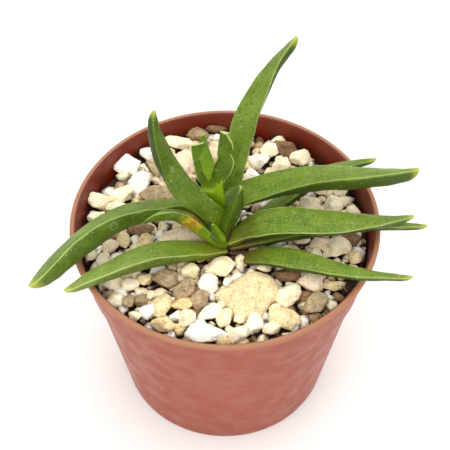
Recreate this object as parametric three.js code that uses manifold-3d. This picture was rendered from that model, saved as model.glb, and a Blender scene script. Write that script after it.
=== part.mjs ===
// A potted succulent with long, keeled, tongue-shaped leaves, in a round plastic pot filled with soil
// and topped with pale gravel. Millimetres, +Z up, the pot's base on z = 0 and its axis on the origin.
import * as THREE from "three";
import { mergeVertices } from "three/addons/utils/BufferGeometryUtils.js";
import Module from "manifold-3d";

const wasm = await Module();
wasm.setup();

// Driving dimensions
const POT_HEIGHT = 65;
const RIM_RADIUS = 42.5; // outside the rolled lip
const LIP = 1.7; // width of the rolled lip
const WALL = 0.9;
const BASE_RADIUS = 30.5;
const BASE_RECESS = 1.6; // the ring with the drain holes stands this far off the table
const RECESS_INNER = 14; // radii between which the ring lies
const RECESS_OUTER = 26.8;
const RECESS_SLOPE = 1.2; // how far its sides lean in
const FLOOR = 1.1; // thickness of the pot's floor
const SHELF_HEIGHT = 49; // the stacking step in the wall
const SHELF_STEP = 0.8;
const DRAIN_HOLES = 6;
const DRAIN_RADIUS = 2.6;
const DRAIN_CIRCLE = 20.5;
const SOIL_TOP = 51;
const GRAVEL_TOP = 57.4; // where the bed lies between the pebbles
const GAP = 0.3; // between pieces that rest on each other
const CROWN = [0, -4.2]; // where the stem comes out of the gravel

// How many flat sides stand for a round one
const POT_SIDES = 72;
const BED_SIDES = 48;
const HOLE_SIDES = 16;
const STEM_SIDES = 12;

// Seeded random draws between two values, so that the gravel is the same every time
const DRAW_STEP = 16807;
const DRAW_SPAN = 2147483647;
function draws(seed) {
  let state = seed;
  return (low, high) => {
    state = (state * DRAW_STEP) % DRAW_SPAN;
    return low + ((high - low) * state) / DRAW_SPAN;
  };
}
const shapeDraw = draws(2027);
const layoutDraw = draws(411);

// Turns a closed three.js geometry into a solid.
function solidOf(geometry) {
  const bare = geometry.clone();
  bare.deleteAttribute("normal");
  bare.deleteAttribute("uv");
  const merged = mergeVertices(bare, 1e-4);
  return new wasm.Manifold(
    new wasm.Mesh({
      numProp: 3,
      vertProperties: new Float32Array(merged.attributes.position.array),
      triVerts: new Uint32Array(merged.index.array),
    }),
  );
}

// Turns a solid back into a named three.js mesh.
function meshOf(name, solid, material) {
  const { vertProperties, triVerts, numProp, numVert } = solid.getMesh();
  const positions = new Float32Array(numVert * 3);
  for (let i = 0; i < numVert; i++) {
    positions.set(vertProperties.subarray(i * numProp, i * numProp + 3), i * 3);
  }
  const geometry = new THREE.BufferGeometry();
  geometry.setAttribute("position", new THREE.BufferAttribute(positions, 3));
  geometry.setIndex(new THREE.BufferAttribute(new Uint32Array(triVerts), 1));
  geometry.computeVertexNormals();
  const mesh = new THREE.Mesh(geometry, material);
  mesh.name = name;
  return mesh;
}

// A solid of revolution about +Z from [radius, height] points that start and end on the axis.
function lathe(profile, sides) {
  const points = profile.map(([radius, height]) => new THREE.Vector2(radius, height));
  const geometry = new THREE.LatheGeometry(points, sides);
  geometry.rotateX(Math.PI / 2);
  return solidOf(geometry);
}

// Closes rings of points, each with the same count, into one skin with a flat cap at each end.
function skin(rings) {
  const count = rings[0].length;
  const middle = (ring) =>
    ring.reduce((sum, point) => sum.add(point), new THREE.Vector3()).divideScalar(count);
  const points = [...rings.flat(), middle(rings[0]), middle(rings.at(-1))];
  const [first, last] = [points.length - 2, points.length - 1];
  const faces = [];
  for (let r = 0; r < rings.length - 1; r++) {
    for (let i = 0; i < count; i++) {
      const a = r * count + i;
      const b = r * count + ((i + 1) % count);
      faces.push(a, b, b + count, a, b + count, a + count);
    }
  }
  const end = (rings.length - 1) * count;
  for (let i = 0; i < count; i++) {
    const next = (i + 1) % count;
    faces.push(first, next, i, last, end + i, end + next);
  }
  const geometry = new THREE.BufferGeometry().setFromPoints(points);
  geometry.setIndex(faces);
  return solidOf(geometry);
}

const union = (solids) => wasm.Manifold.union(solids);
const largest = (solid) =>
  solid.decompose().reduce((best, body) => (body.volume() > best.volume() ? body : best));

// A value read off evenly spaced settings at a share from 0 to 1 of the length.
function along(settings, share) {
  const place = share * (settings.length - 1);
  const start = Math.min(Math.floor(place), settings.length - 2);
  return THREE.MathUtils.lerp(settings[start], settings[start + 1], place - start);
}

// Leaves. The spine runs from the crown to the tip through points in millimetres, in the middle of the
// upper face. Widths, keels and rolls are at even shares of the length. A roll of 0 lays the upper face
// level; it is in degrees about the spine.
const LEAVES = [
  {
    name: "leaf_bud_front",
    spine: [[-0.1, -6.6, 61.4], [-1.2, -6.6, 65.2], [-2.5, -6.1, 67.9], [-3.3, -5.8, 69.8]],
    widths: [1.8, 2.6, 2.4, 0.8],
    keels: [1.5, 2.4, 2.2, 0.7],
    rolls: [-50, -55, -55, -45],
  },
  {
    name: "leaf_middle_left",
    spine: [
      [-0.7, -5.6, 61], [-3.4, -4.9, 64.2], [-6.1, -3.9, 66.9], [-9.2, -2.6, 69.4],
      [-12.4, -1.8, 70.2], [-16, -1.6, 70], [-19.9, -1.8, 68.6], [-23.3, -3.6, 67.4],
    ],
    widths: [2.8, 3.8, 4.6, 5, 4.8, 4.4, 3.2, 1],
    keels: [1.8, 2.4, 3, 3.4, 3.1, 2.6, 2, 0.8],
    rolls: [45, 50, 50, 46, 42, 40, 38, 36],
  },
  {
    name: "leaf_low_left",
    spine: [
      [0.2, -6.6, 60.2], [-6.6, -8.4, 62.8], [-13.1, -10.9, 65.8], [-19.6, -13.7, 67.8],
      [-25, -17, 69], [-30.2, -20.3, 69.4], [-35.6, -23.6, 69.2], [-41.2, -27.4, 68.8],
    ],
    widths: [3, 6, 7, 7, 6.6, 5.6, 4, 1.8],
    keels: [2, 3.8, 4.8, 5, 4.6, 3.8, 2.8, 1.2],
    rolls: [12, 10, 8, 12, 13, 17, 18, 25],
  },
  {
    name: "leaf_low_right",
    spine: [
      [1.6, -7, 57.2], [5.4, -9, 59.6], [10.6, -11.3, 63.5], [21, -16.2, 67.3], [31, -21, 69.2],
      [41.3, -22.8, 69.4], [48.4, -23.3, 69.1],
    ],
    widths: [2.4, 5.6, 6.8, 5.4, 3.4, 1.6],
    keels: [2, 3.6, 3.6, 2.8, 1.9, 1],
    rolls: [2, 5, -4, -9, -18, -30],
  },
  {
    name: "leaf_under_right",
    spine: [
      [1.4, -5.2, 59.8], [12, -4, 62.4], [20, -3.6, 64.4], [28, -3.7, 66.3], [36.2, -4, 67.6],
      [44.2, -4.5, 68.2], [54.4, -5.1, 68],
    ],
    widths: [3.4, 5, 5.4, 5.4, 5, 4, 1.8],
    keels: [1.8, 2.2, 2.5, 2.6, 2.2, 1.9, 1],
    rolls: [-22, -22, -22, -24, -28, -28, -30],
  },
  {
    name: "leaf_middle_right",
    spine: [
      [0.8, -4.6, 62], [7, -4.3, 67], [16, -5.2, 70.6], [27.8, -7, 72], [40, -6.1, 71.6],
      [50.5, -4.3, 71],
    ],
    widths: [4.5, 8.2, 8.2, 7.2, 5, 1.8],
    keels: [2.8, 4.2, 4.4, 3.8, 2.6, 1],
    rolls: [-8, 8, 12, 4, -11, -38],
  },
  {
    name: "leaf_short",
    spine: [
      [0.9, -5.8, 61.6], [-1.4, -5.3, 66.4], [-0.1, -3.6, 71.8], [1.8, -1.4, 74.6],
      [3.2, 0.2, 76.2], [4.2, 1.5, 77],
    ],
    widths: [4.2, 5.8, 6.9, 6.6, 4.8, 1.4],
    keels: [2, 2.6, 3.6, 4.4, 3.4, 1.3],
    rolls: [-20, -24, -30, -36, -40, -40],
  },
  {
    name: "leaf_upright_left",
    spine: [
      [-0.4, -4.2, 62.6], [-1.1, -4.5, 70.2], [-3.5, -5.1, 74.1], [-5.9, -4.3, 75.7],
      [-8.6, -2.2, 76.8], [-11.2, 0.6, 77], [-13.8, 4.8, 79], [-16.4, 8.4, 83.8],
      [-17.8, 10.8, 87.8], [-18.6, 12.8, 93.8],
    ],
    widths: [3.2, 4.4, 5.2, 6.1, 6.7, 6.7, 5.8, 5, 3.3, 1.4],
    keels: [2, 2.3, 2.5, 2.8, 3.5, 4.4, 4.5, 3.9, 2.6, 1.2],
    rolls: [-87, -87, -82, -66, -29, 2, 20, 30, 47, 60],
  },
  {
    name: "leaf_high_right",
    spine: [
      [0.6, -1.4, 65.4], [2.6, 2.4, 70.4], [9.4, 4.8, 72.7], [15, 5.5, 74.3], [25.5, 4.7, 78.2],
      [36, 3.9, 79.5], [46.5, 4.7, 79.3], [51.9, 5.4, 79],
    ],
    widths: [5.4, 7, 7.2, 7.2, 7, 5.6, 3],
    keels: [3.4, 5, 5.7, 5.7, 5.1, 4.1, 2.5],
    rolls: [10, 12, 8, -4, -17, -29, -42],
  },
  {
    name: "leaf_tall_upright",
    spine: [
      [0.6, -1, 62], [1.5, 4.8, 69], [3.1, 9.5, 79.5], [5.4, 14.5, 88.4], [8.7, 19.6, 94.2],
      [13.3, 24.6, 100.6], [18.9, 28.2, 105.8],
    ],
    widths: [4.4, 5, 5.6, 6.9, 5.9, 4.6, 3.4],
    keels: [2.6, 3, 3.4, 3.8, 3.4, 2.6, 1.8],
    rolls: [-6, -6, 0, 12, -2, -25, -48],
  },
  {
    name: "leaf_long_left",
    spine: [
      [-1.6, -2.2, 62], [-5, 0.2, 66.2], [-10.4, 3.2, 67.8], [-18, 2.6, 68.1],
      [-25.3, -1.4, 71.1], [-31, -5.5, 72.5], [-36.8, -10.5, 72.8], [-43, -17, 71.6],
      [-47.2, -21.9, 69.8], [-50.4, -25.6, 68.2],
    ],
    widths: [3.6, 5, 6.4, 7.4, 8, 8, 8, 7.6, 6.4, 3.6],
    keels: [2, 3, 3.8, 4.6, 5, 5.4, 5.8, 5.4, 4.6, 2.6],
    rolls: [20, 28, 33, 24, 26, 35, 41, 43, 40, 40],
  },
  {
    name: "leaf_back_right",
    spine: [
      [2.2, -1.6, 61], [7.1, 1.4, 62.4], [14.2, 5.8, 64.8], [20.6, 10.4, 67],
      [27.7, 14.8, 68.5], [34.5, 16.6, 69.3], [42.4, 18.2, 69.3],
    ],
    widths: [3.6, 5, 6, 6.4, 5.8, 4.2, 1.6],
    keels: [1.8, 2.2, 2.8, 3.4, 3, 2, 1],
    rolls: [-24, -26, -26, -22, -26, -28, -31],
  },
];

const RING = [
  [-1, 0, 0], // left margin
  [-0.55, 0, 1],
  [0, 0, 1.2],
  [0.55, 0, 1],
  [1, 0, 0], // right margin
  [0.78, -0.62, 0],
  [0, -1, 0], // keel
  [-0.78, -0.62, 0],
];
const STATIONS = [0, 0.09, 0.2, 0.32, 0.44, 0.56, 0.67, 0.77, 0.86, 0.93, 0.98, 1];
const CROWNING = 0.35; // how far the upper face bulges in its middle
const TIP_SHARE = 0.06; // the last part of the length, where the leaf rounds off
const TIP_BLUNTNESS = 0.2; // width left at the very tip, as a share

function leafSolid(leaf, grow = 0) {
  const points = leaf.spine.map((point) => new THREE.Vector3(...point));
  const curve = new THREE.CatmullRomCurve3(points, false, "chordal");
  const rings = STATIONS.map((share) => {
    const centre = curve.getPointAt(share);
    const tangent = curve.getTangentAt(share);
    const level = new THREE.Vector3(0, 0, 1);
    level.addScaledVector(tangent, -level.dot(tangent)).normalize();
    level.applyAxisAngle(tangent, THREE.MathUtils.degToRad(along(leaf.rolls, share)));
    const side = new THREE.Vector3().crossVectors(tangent, level);
    const past = leaf.cut ? 0 : Math.max(0, (share - 1 + TIP_SHARE) / TIP_SHARE);
    const rounding = Math.max(TIP_BLUNTNESS, Math.sqrt(1 - past * past));
    const half = (along(leaf.widths, share) / 2) * rounding + grow;
    const keel = along(leaf.keels, share) * rounding + grow;
    return RING.map(([across, down, bulge]) =>
      centre
        .clone()
        .addScaledVector(side, across * half)
        .addScaledVector(level, down * keel + bulge * (CROWNING + grow)),
    );
  });
  return skin(rings);
}

// The young pair is two short leaves grown together round a bud; both were cut off straight at the top.
const YOUNG_ARMS = [
  {
    spine: [
      [-3.8, -0.6, 76], [-4.6, -0.7, 80], [-5.6, -0.6, 83.3], [-6.4, 0, 88.5],
      [-6.9, 0.8, 93.9],
    ],
    widths: [3, 3.5, 3.8, 4, 4],
    keels: [2, 2.2, 2, 1.7, 1.3],
    rolls: [-99, -84, -37, -17, -10],
    cut: true,
  },
  {
    spine: [
      [-2.5, -0.6, 76], [-2.3, -0.7, 80.4], [-1.4, -0.7, 83.9], [-0.4, -0.3, 86.3],
      [0.2, 0.2, 88.5], [0.2, 1.1, 91.7], [0.2, 2.1, 96.4],
    ],
    widths: [3.4, 3.7, 4.3, 5, 4.8, 4.2, 3.6],
    keels: [2, 2.2, 2.2, 2, 1.7, 1.4, 1.1],
    rolls: [96, 81, 65, 31, -6, -29, -37],
    cut: true,
  },
];
const YOUNG_SHEATH = {
  spine: [
    [-0.8, -2.6, 65.6], [-1.9, -2, 69], [-2.7, -1.6, 72.6], [-3.3, -1.5, 76.6],
    [-3.6, -1.5, 80.8], [-3.7, -1.5, 83.4],
  ],
  widths: [4.4, 5, 5.6, 6.1, 6.3, 6.3],
  keels: [2.3, 2.5, 2.5, 2.4, 2.2, 2.2],
  rolls: [120, 119, 107, 95, 90, 90],
  cut: true,
};
const YOUNG_BUD = {
  spine: [
    [-4.3, -1.5, 82.8], [-4.4, -1.2, 84.9], [-4.6, -0.4, 87.9], [-5.4, 0.8, 91.5],
    [-5.6, 1.8, 94], [-5.7, 2.4, 95.8],
  ],
  widths: [0.9, 3, 3.4, 3, 2.4, 0.8],
  keels: [0.9, 1.3, 1.3, 1.1, 0.8, 0.5],
  rolls: [-11, -9, -15, -20, -8, -3],
};

// Gravel. Each stone is [x, y, length, width, height, turn in degrees]; its middle lies just over the bed.
const STONE_MIDDLE = 59.6;
const STONE_ROOT = 0.8; // how deep each stone sinks into the bed
const STONES = [
  [-1.3, -12.6, 8.6, 6.2, 4.6, 10],
  [-4.3, -18.3, 6, 5.6, 4.4, 60],
  [-9.4, -13.7, 5, 4.2, 4, 0],
  [-16.1, -17, 7, 5.6, 4, 20],
  [-10.6, -20.3, 6.6, 4.4, 4, 40],
  [-17.1, -25.2, 7.4, 5.4, 4.6, 65],
  [-11.1, -24.9, 6.3, 3.8, 3.6, 10],
  [-20.2, -27.5, 4.6, 4.4, 4, 0],
  [-25.3, -18.7, 4.8, 4, 3.8, 50],
  [-21.4, -17, 4, 3.4, 3.4, 0],
  [-29.9, -18, 5.2, 3.8, 3.8, 20],
  [-29, -23.6, 4.8, 4, 3.6, 10],
  [-25.3, -24.2, 4.2, 3.2, 3.4, 80],
  [-21.9, -23.2, 4.2, 3.4, 3.4, 70],
  [-23.5, -28.8, 3.4, 3, 3, 0],
  [-16.1, -31.3, 6.5, 4, 3.8, 0],
  [-9.9, -29.4, 5.2, 4.4, 4, 70],
  [-4.9, -34.2, 10.6, 5.2, 4.6, 172],
  [-3.7, -27.5, 7.4, 4, 3.8, 35],
  [-0.3, -29.2, 5.4, 4, 4.2, 75],
  [3.4, -34.1, 6.4, 5.2, 4.4, 0],
  [3.9, -29.6, 3.4, 2.6, 3, 20],
  [7.8, -31.4, 6.2, 4.4, 4.4, 70],
  [12.2, -32.8, 5.2, 3.8, 3.8, 20],
  [15.6, -29.4, 8.8, 5.6, 4.6, 165],
  [16.9, -22.3, 7.4, 6, 5, 75],
  [24, -24.6, 7.4, 4.8, 4, 55],
  [22.9, -18.3, 6.7, 5.4, 4.6, 20],
  [16.7, -15.4, 7.5, 3.8, 3.2, 170],
  [10.6, -12.6, 4.4, 3.4, 2.6, 30],
  [30.4, -5.7, 8.2, 6.6, 4.6, 0],
  [35.3, -9.2, 4.4, 3.6, 3.4, 80],
  [34.6, -2.6, 5, 3.8, 3.2, 160],
  [25.5, -4.3, 5.5, 3.6, 3, 20],
  [21.2, -3, 4.4, 3, 2.8, 0],
  [24.9, -7.8, 4, 3, 2.8, 60],
  [17, -7.4, 5, 3.6, 2.8, 10],
  [29.3, -18.7, 5.9, 2.8, 2.8, 10],
  [29, -12.6, 5, 4, 3.4, 30],
  [24, 10.1, 7.2, 5.2, 4.4, 20],
  [30.8, 9.6, 6.4, 5.2, 4.4, 70],
  [36, 7.2, 4, 3, 3, 0],
  [28.8, 4.2, 5, 4, 3.2, 0],
  [36.2, 2.4, 3.6, 3, 2.8, 0],
  [19, 5.2, 5, 4, 3, 40],
  [18, 31.4, 8.8, 5, 4.4, 145],
  [13.2, 30.6, 6.4, 5, 4.2, 60],
  [9.9, 26.6, 5.8, 4.8, 4.2, 10],
  [8.2, 19.6, 6.3, 5, 4.2, 100],
  [15.7, 34.6, 4.2, 3.6, 3.4, 0],
  [22, 27.6, 6, 4.6, 4, 20],
  [16, 24.6, 6.2, 5, 4.2, 30],
  [27, 21.6, 6.8, 5.2, 4.4, 160],
  [13.4, 15.8, 7, 5.4, 4.4, 130],
  [21, 17, 5.6, 4.6, 4, 20],
  [27.2, 15.2, 4.6, 3.6, 3.4, 0],
  [33, 15.6, 5.4, 4.4, 4, 60],
  [2.6, 34.4, 6.4, 4.6, 4.2, 20],
  [5, 38.2, 4.2, 3.4, 3.2, 0],
  [-8, 37.4, 5.8, 4.8, 5, 0],
  [-2.6, 39.4, 6.4, 2.6, 3, 4],
  [-13.9, 33.6, 8.6, 4.4, 4.2, 170],
  [-19.4, 32.8, 5.4, 4.2, 4, 20],
  [-11.4, 25.8, 8.8, 5.8, 5, 100],
  [-3.2, 30, 8, 4.6, 4.8, 95],
  [-5.6, 19.4, 4.6, 4.4, 4, 60],
  [-13.4, 18.2, 5.6, 3.6, 3.4, 130],
  [-20, 24.2, 7.2, 3.4, 3.6, 120],
  [-28.6, 25, 8, 6.4, 5.6, 20],
  [-22.6, 29.6, 5, 3.6, 3.6, 140],
  [-25, 18.2, 7.2, 7, 5.4, 60],
  [-20, 13.6, 8.6, 5, 3.8, 10],
  [-29.3, 13.2, 7.6, 5.4, 4.6, 20],
  [-30.5, 8.8, 6.2, 2.8, 3.2, 20],
  [-35.5, 11.2, 8, 5.2, 5, 0],
  [-13, 11.6, 7, 4.4, 3.8, 10],
  [-8, 9.6, 5, 3.6, 3.4, 30],
  [-35.6, 4.6, 5.6, 3.4, 3.4, 10],
  [-12.4, -1.8, 12, 4.4, 3.4, 4],
  [-22.7, 0.4, 6, 3.4, 3.2, 0],
  [-21.8, -3.6, 4.8, 4, 3.4, 60],
  [-27.8, -3.4, 5.2, 3.6, 3.6, 80],
  [-31.3, -5.6, 4.9, 3.4, 3.4, 20],
  [-33.2, -9.9, 4.6, 3.4, 3.4, 80],
  [-36.6, -8.6, 4.2, 3, 3.2, 70],
  [-6.6, -23.6, 5, 4.4, 3.6, 30],
  [-22.3, -21, 3.2, 2.8, 2.8, 0],
  [-6.4, -8.6, 5, 3.6, 2.8, 30],
  [-14.2, -8, 5, 4, 3, 10],
  [-31.4, -14, 4.6, 3.4, 3.2, 20],
];
// Patches where the dark mix shows between the stones: x, y, radius
const BARE = [
  [34.4, -19.4, 4.4],
  [-39, 6.4, 2.6],
  [-37.4, -12.6, 2.4],
  [-33, 19.4, 3],
  [-15.6, 38.4, 4],
];
const STONE_POINTS = 12;
const FILL_STONES = 90;
const FILL_TRIES = 1500;
const FILL_POINTS = 9;
const FILL_OVERLAP = 0.82; // how close neighbours may come, as a share of the sum of their reaches
const CROWN_CLEARANCE = 5;
const LARGE_STONE = [6.3, -22.1, 18.6, 14.4, 6.8, 8];
const LARGE_STONE_SUNK = 0.3; // share of its height below its middle
const LARGE_STONE_POINTS = 36;

const GOLDEN_ANGLE = Math.PI * (3 - Math.sqrt(5));

// The rounded, angular body of one stone: the hull of points set about an ellipsoid with a deeper foot.
function stoneSolid([x, y, length, width, height, turn], middle, points) {
  const foot = Math.max(height / 2, middle - GRAVEL_TOP + STONE_ROOT);
  const cloud = [];
  for (let i = 0; i < points; i++) {
    const up = 1 - (2 * i + 1) / points;
    const round = Math.sqrt(1 - up * up);
    const angle = i * GOLDEN_ANGLE + shapeDraw(-0.25, 0.25);
    const reach = shapeDraw(0.94, 1.12);
    cloud.push([
      (reach * round * Math.cos(angle) * length) / 2,
      (reach * round * Math.sin(angle) * width) / 2,
      reach * up * (up > 0 ? height / 2 : foot),
    ]);
  }
  return wasm.Manifold.hull(cloud)
    .rotate([0, 0, turn])
    .translate([x, y, middle]);
}

// Small stones drawn where no listed stone lies, each with its middle's height over the bed.
function fillStones() {
  const placed = [...STONES, LARGE_STONE].map(([x, y, length, width]) => [x, y, (length + width) / 4]);
  const free = (x, y, reach) =>
    placed.every(([px, py, other]) => Math.hypot(px - x, py - y) > (other + reach) * FILL_OVERLAP) &&
    BARE.every(([px, py, patch]) => Math.hypot(px - x, py - y) > patch + reach) &&
    Math.hypot(x - CROWN[0], y - CROWN[1]) > CROWN_CLEARANCE + reach;
  const fill = [];
  for (let i = 0; i < FILL_TRIES && fill.length < FILL_STONES; i++) {
    const length = layoutDraw(2.6, 5);
    const distance = (BED_RADIUS - length / 2) * Math.sqrt(layoutDraw(0, 1));
    const angle = layoutDraw(0, 2 * Math.PI);
    const width = length * layoutDraw(0.65, 0.95);
    const height = length * layoutDraw(0.55, 0.8);
    const turn = layoutDraw(0, 180);
    const lift = layoutDraw(0.4, 1.6);
    const x = distance * Math.cos(angle);
    const y = distance * Math.sin(angle);
    if (free(x, y, length / 2)) {
      placed.push([x, y, (length + width) / 4]);
      fill.push([x, y, length, width, height, turn, lift]);
    }
  }
  return fill;
}

// Materials
const LEAF_GREEN = new THREE.MeshStandardMaterial({ color: 0x5b8a35, roughness: 0.5 });
const STEM_GREEN = new THREE.MeshStandardMaterial({ color: 0x8c8a3c, roughness: 0.6 });
const POT_CLAY = new THREE.MeshStandardMaterial({ color: 0xb2604a, roughness: 0.55 });
const SOIL_DARK = new THREE.MeshStandardMaterial({ color: 0x3a2419, roughness: 0.95 });
const GRAVEL_PALE = new THREE.MeshStandardMaterial({ color: 0xe2d3b4, roughness: 0.85 });
const STONE_CREAM = new THREE.MeshStandardMaterial({ color: 0xe8d6ae, roughness: 0.85 });

// Inside radius of the pot's wall at a height
function innerWall(height) {
  const rise = RIM_RADIUS - LIP - BASE_RADIUS + WALL - SHELF_STEP;
  const radius = BASE_RADIUS - WALL + (rise * height) / POT_HEIGHT;
  return height > SHELF_HEIGHT ? radius + SHELF_STEP : radius;
}
const BED_RADIUS = innerWall(GRAVEL_TOP) - GAP;

function potSolid() {
  const outer = (height) => innerWall(height) + WALL;
  const floor = BASE_RECESS + FLOOR;
  const bare = lathe(
    [
      [0, 0],
      [RECESS_INNER, 0],
      [RECESS_INNER + RECESS_SLOPE, BASE_RECESS],
      [RECESS_OUTER - RECESS_SLOPE, BASE_RECESS],
      [RECESS_OUTER, 0],
      [BASE_RADIUS - 0.5, 0],
      [outer(0.7), 0.7],
      [outer(SHELF_HEIGHT - 0.7), SHELF_HEIGHT - 0.7],
      [outer(SHELF_HEIGHT + 0.01), SHELF_HEIGHT],
      [outer(POT_HEIGHT - 2.2), POT_HEIGHT - 2.2],
      [RIM_RADIUS - 0.2, POT_HEIGHT - 1.7],
      [RIM_RADIUS, POT_HEIGHT - 0.9],
      [RIM_RADIUS - 0.3, POT_HEIGHT - 0.25],
      [RIM_RADIUS - LIP / 2, POT_HEIGHT],
      [RIM_RADIUS - LIP + 0.25, POT_HEIGHT - 0.3],
      [RIM_RADIUS - LIP, POT_HEIGHT - 1],
      [innerWall(POT_HEIGHT - 2.2), POT_HEIGHT - 2.2],
      [innerWall(SHELF_HEIGHT + 0.6), SHELF_HEIGHT + 0.6],
      [innerWall(SHELF_HEIGHT - 0.2), SHELF_HEIGHT - 0.2],
      [innerWall(floor), floor],
      [0, floor],
    ],
    POT_SIDES,
  );
  const drill = solidOf(
    new THREE.CylinderGeometry(DRAIN_RADIUS, DRAIN_RADIUS, 3 * floor, HOLE_SIDES).rotateX(Math.PI / 2),
  );
  const holes = Array.from({ length: DRAIN_HOLES }, (_, i) => {
    const angle = (i * 2 * Math.PI) / DRAIN_HOLES;
    return drill.translate([DRAIN_CIRCLE * Math.cos(angle), DRAIN_CIRCLE * Math.sin(angle), floor / 2]);
  });
  return bare.subtract(union(holes));
}

function stemSolid(grow = 0) {
  return lathe(
    [
      [0, 36 - grow],
      [0.9 + grow, 36 - grow],
      [1.6 + grow, 44],
      [2.6 + grow, 52],
      [3.1 + grow, 58],
      [2.8 + grow, 61.6],
      [1.6 + grow, 63.6 + grow],
      [0, 63.8 + grow],
    ],
    STEM_SIDES,
  ).translate([...CROWN, 0]);
}

function soilSolid() {
  const low = BASE_RECESS + FLOOR + GAP;
  const plug = lathe(
    [
      [0, low],
      [innerWall(low) - GAP, low],
      [innerWall(SHELF_HEIGHT) - GAP - SHELF_STEP / 2, SHELF_HEIGHT - 0.4],
      [innerWall(SOIL_TOP) - GAP - SHELF_STEP, SOIL_TOP],
      [0, SOIL_TOP],
    ],
    BED_SIDES,
  );
  return plug.subtract(stemSolid(GAP));
}

function gravelSolid(cutters) {
  const bed = lathe(
    [
      [0, SOIL_TOP + GAP],
      [innerWall(SOIL_TOP) - GAP - 0.1, SOIL_TOP + GAP],
      [BED_RADIUS - 0.1, GRAVEL_TOP],
      [0, GRAVEL_TOP],
    ],
    BED_SIDES,
  );
  const inside = lathe(
    [
      [0, SOIL_TOP],
      [innerWall(SOIL_TOP) - GAP - 0.1, SOIL_TOP],
      [innerWall(POT_HEIGHT - 2.2) - GAP - 0.1, POT_HEIGHT - 2.2],
      [0, POT_HEIGHT - 2.2],
    ],
    BED_SIDES,
  );
  const listed = STONES.map((stone) => stoneSolid(stone, STONE_MIDDLE, STONE_POINTS));
  const small = fillStones().map((stone) => stoneSolid(stone, GRAVEL_TOP + stone[6], FILL_POINTS));
  const heap = union([bed, ...listed, ...small]).intersect(inside);
  return largest(heap.subtract(union(cutters)));
}

// Each piece is trimmed clear of those before it, as leaves press against each other at the crown.
const model = new THREE.Group();
function place(name, solid, material) {
  model.add(meshOf(name, solid, material));
}

place("pot", potSolid(), POT_CLAY);
place("soil", soilSolid(), SOIL_DARK);
place("stem_and_root", stemSolid(), STEM_GREEN);

const cutters = [stemSolid(GAP)];
for (const leaf of LEAVES) {
  place(leaf.name, largest(leafSolid(leaf).subtract(union(cutters))), LEAF_GREEN);
  cutters.push(leafSolid(leaf, GAP));
}
const youngPair = (grow) => union([...YOUNG_ARMS, YOUNG_SHEATH].map((leaf) => leafSolid(leaf, grow)));
place("young_pair", largest(youngPair(0).subtract(union(cutters))), LEAF_GREEN);
cutters.push(youngPair(GAP));
place("young_bud", largest(leafSolid(YOUNG_BUD).subtract(union(cutters))), LEAF_GREEN);

const largeMiddle = GRAVEL_TOP + GAP + LARGE_STONE[4] * LARGE_STONE_SUNK;
const largeStone = stoneSolid(LARGE_STONE, largeMiddle, LARGE_STONE_POINTS).trimByPlane(
  [0, 0, 1],
  GRAVEL_TOP + GAP,
);
place("large_stone", largeStone, STONE_CREAM);
const [largeX, largeY, ...largeSizes] = LARGE_STONE;
const grownStone = largeStone
  .translate([-largeX, -largeY, -largeMiddle])
  .scale(largeSizes.slice(0, 3).map((size) => 1 + (2 * GAP) / size))
  .translate([largeX, largeY, largeMiddle]);
place("gravel", gravelSolid([...cutters, grownStone]), GRAVEL_PALE);

export default model;
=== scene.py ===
"""Looks of a potted succulent: a round plastic pot, pale gravel over dark soil, and long keeled leaves.

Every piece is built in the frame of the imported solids, and each stands in for the solid of the same
form. The sizes below are in millimetres and are those of the solids; meshes are in metres.
"""
import math

import bpy
from mathutils import Matrix, Vector, kdtree, noise


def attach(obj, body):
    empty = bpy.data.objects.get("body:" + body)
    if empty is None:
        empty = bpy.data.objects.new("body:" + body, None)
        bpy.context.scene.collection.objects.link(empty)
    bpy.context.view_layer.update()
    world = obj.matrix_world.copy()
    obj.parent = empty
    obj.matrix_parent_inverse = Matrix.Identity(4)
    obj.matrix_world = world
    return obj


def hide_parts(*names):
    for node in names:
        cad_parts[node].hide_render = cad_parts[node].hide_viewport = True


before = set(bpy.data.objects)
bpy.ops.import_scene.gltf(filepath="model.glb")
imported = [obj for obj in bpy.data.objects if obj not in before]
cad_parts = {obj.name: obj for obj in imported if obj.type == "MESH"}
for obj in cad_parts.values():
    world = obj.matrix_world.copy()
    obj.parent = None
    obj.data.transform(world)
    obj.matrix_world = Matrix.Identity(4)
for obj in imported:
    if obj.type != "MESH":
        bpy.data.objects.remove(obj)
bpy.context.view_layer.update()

bl_info = {
    "name": "Potted succulent",
    "version": (1, 0, 0),
    "blender": (4, 5, 0),
    "location": "3D View > Sidebar > Plant",
    "description": "Builds the pot, gravel, soil and keeled leaves of a potted succulent",
    "category": "Add Mesh",
}

MM = 0.001

# Pot
POT_HEIGHT = 65
RIM_RADIUS = 42.5
LIP = 1.7
WALL = 0.9
BASE_RADIUS = 30.5
BASE_RECESS = 1.6
FLOOR = 1.1
SHELF_HEIGHT = 49
SHELF_STEP = 0.8
DRAIN_HOLES = 6
DRAIN_RADIUS = 2.6
DRAIN_CIRCLE = 20.5

# Bed of gravel over soil
SOIL_TOP = 51
GRAVEL_TOP = 57.4
GAP = 0.3
CROWN = (0, -4.2)

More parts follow.
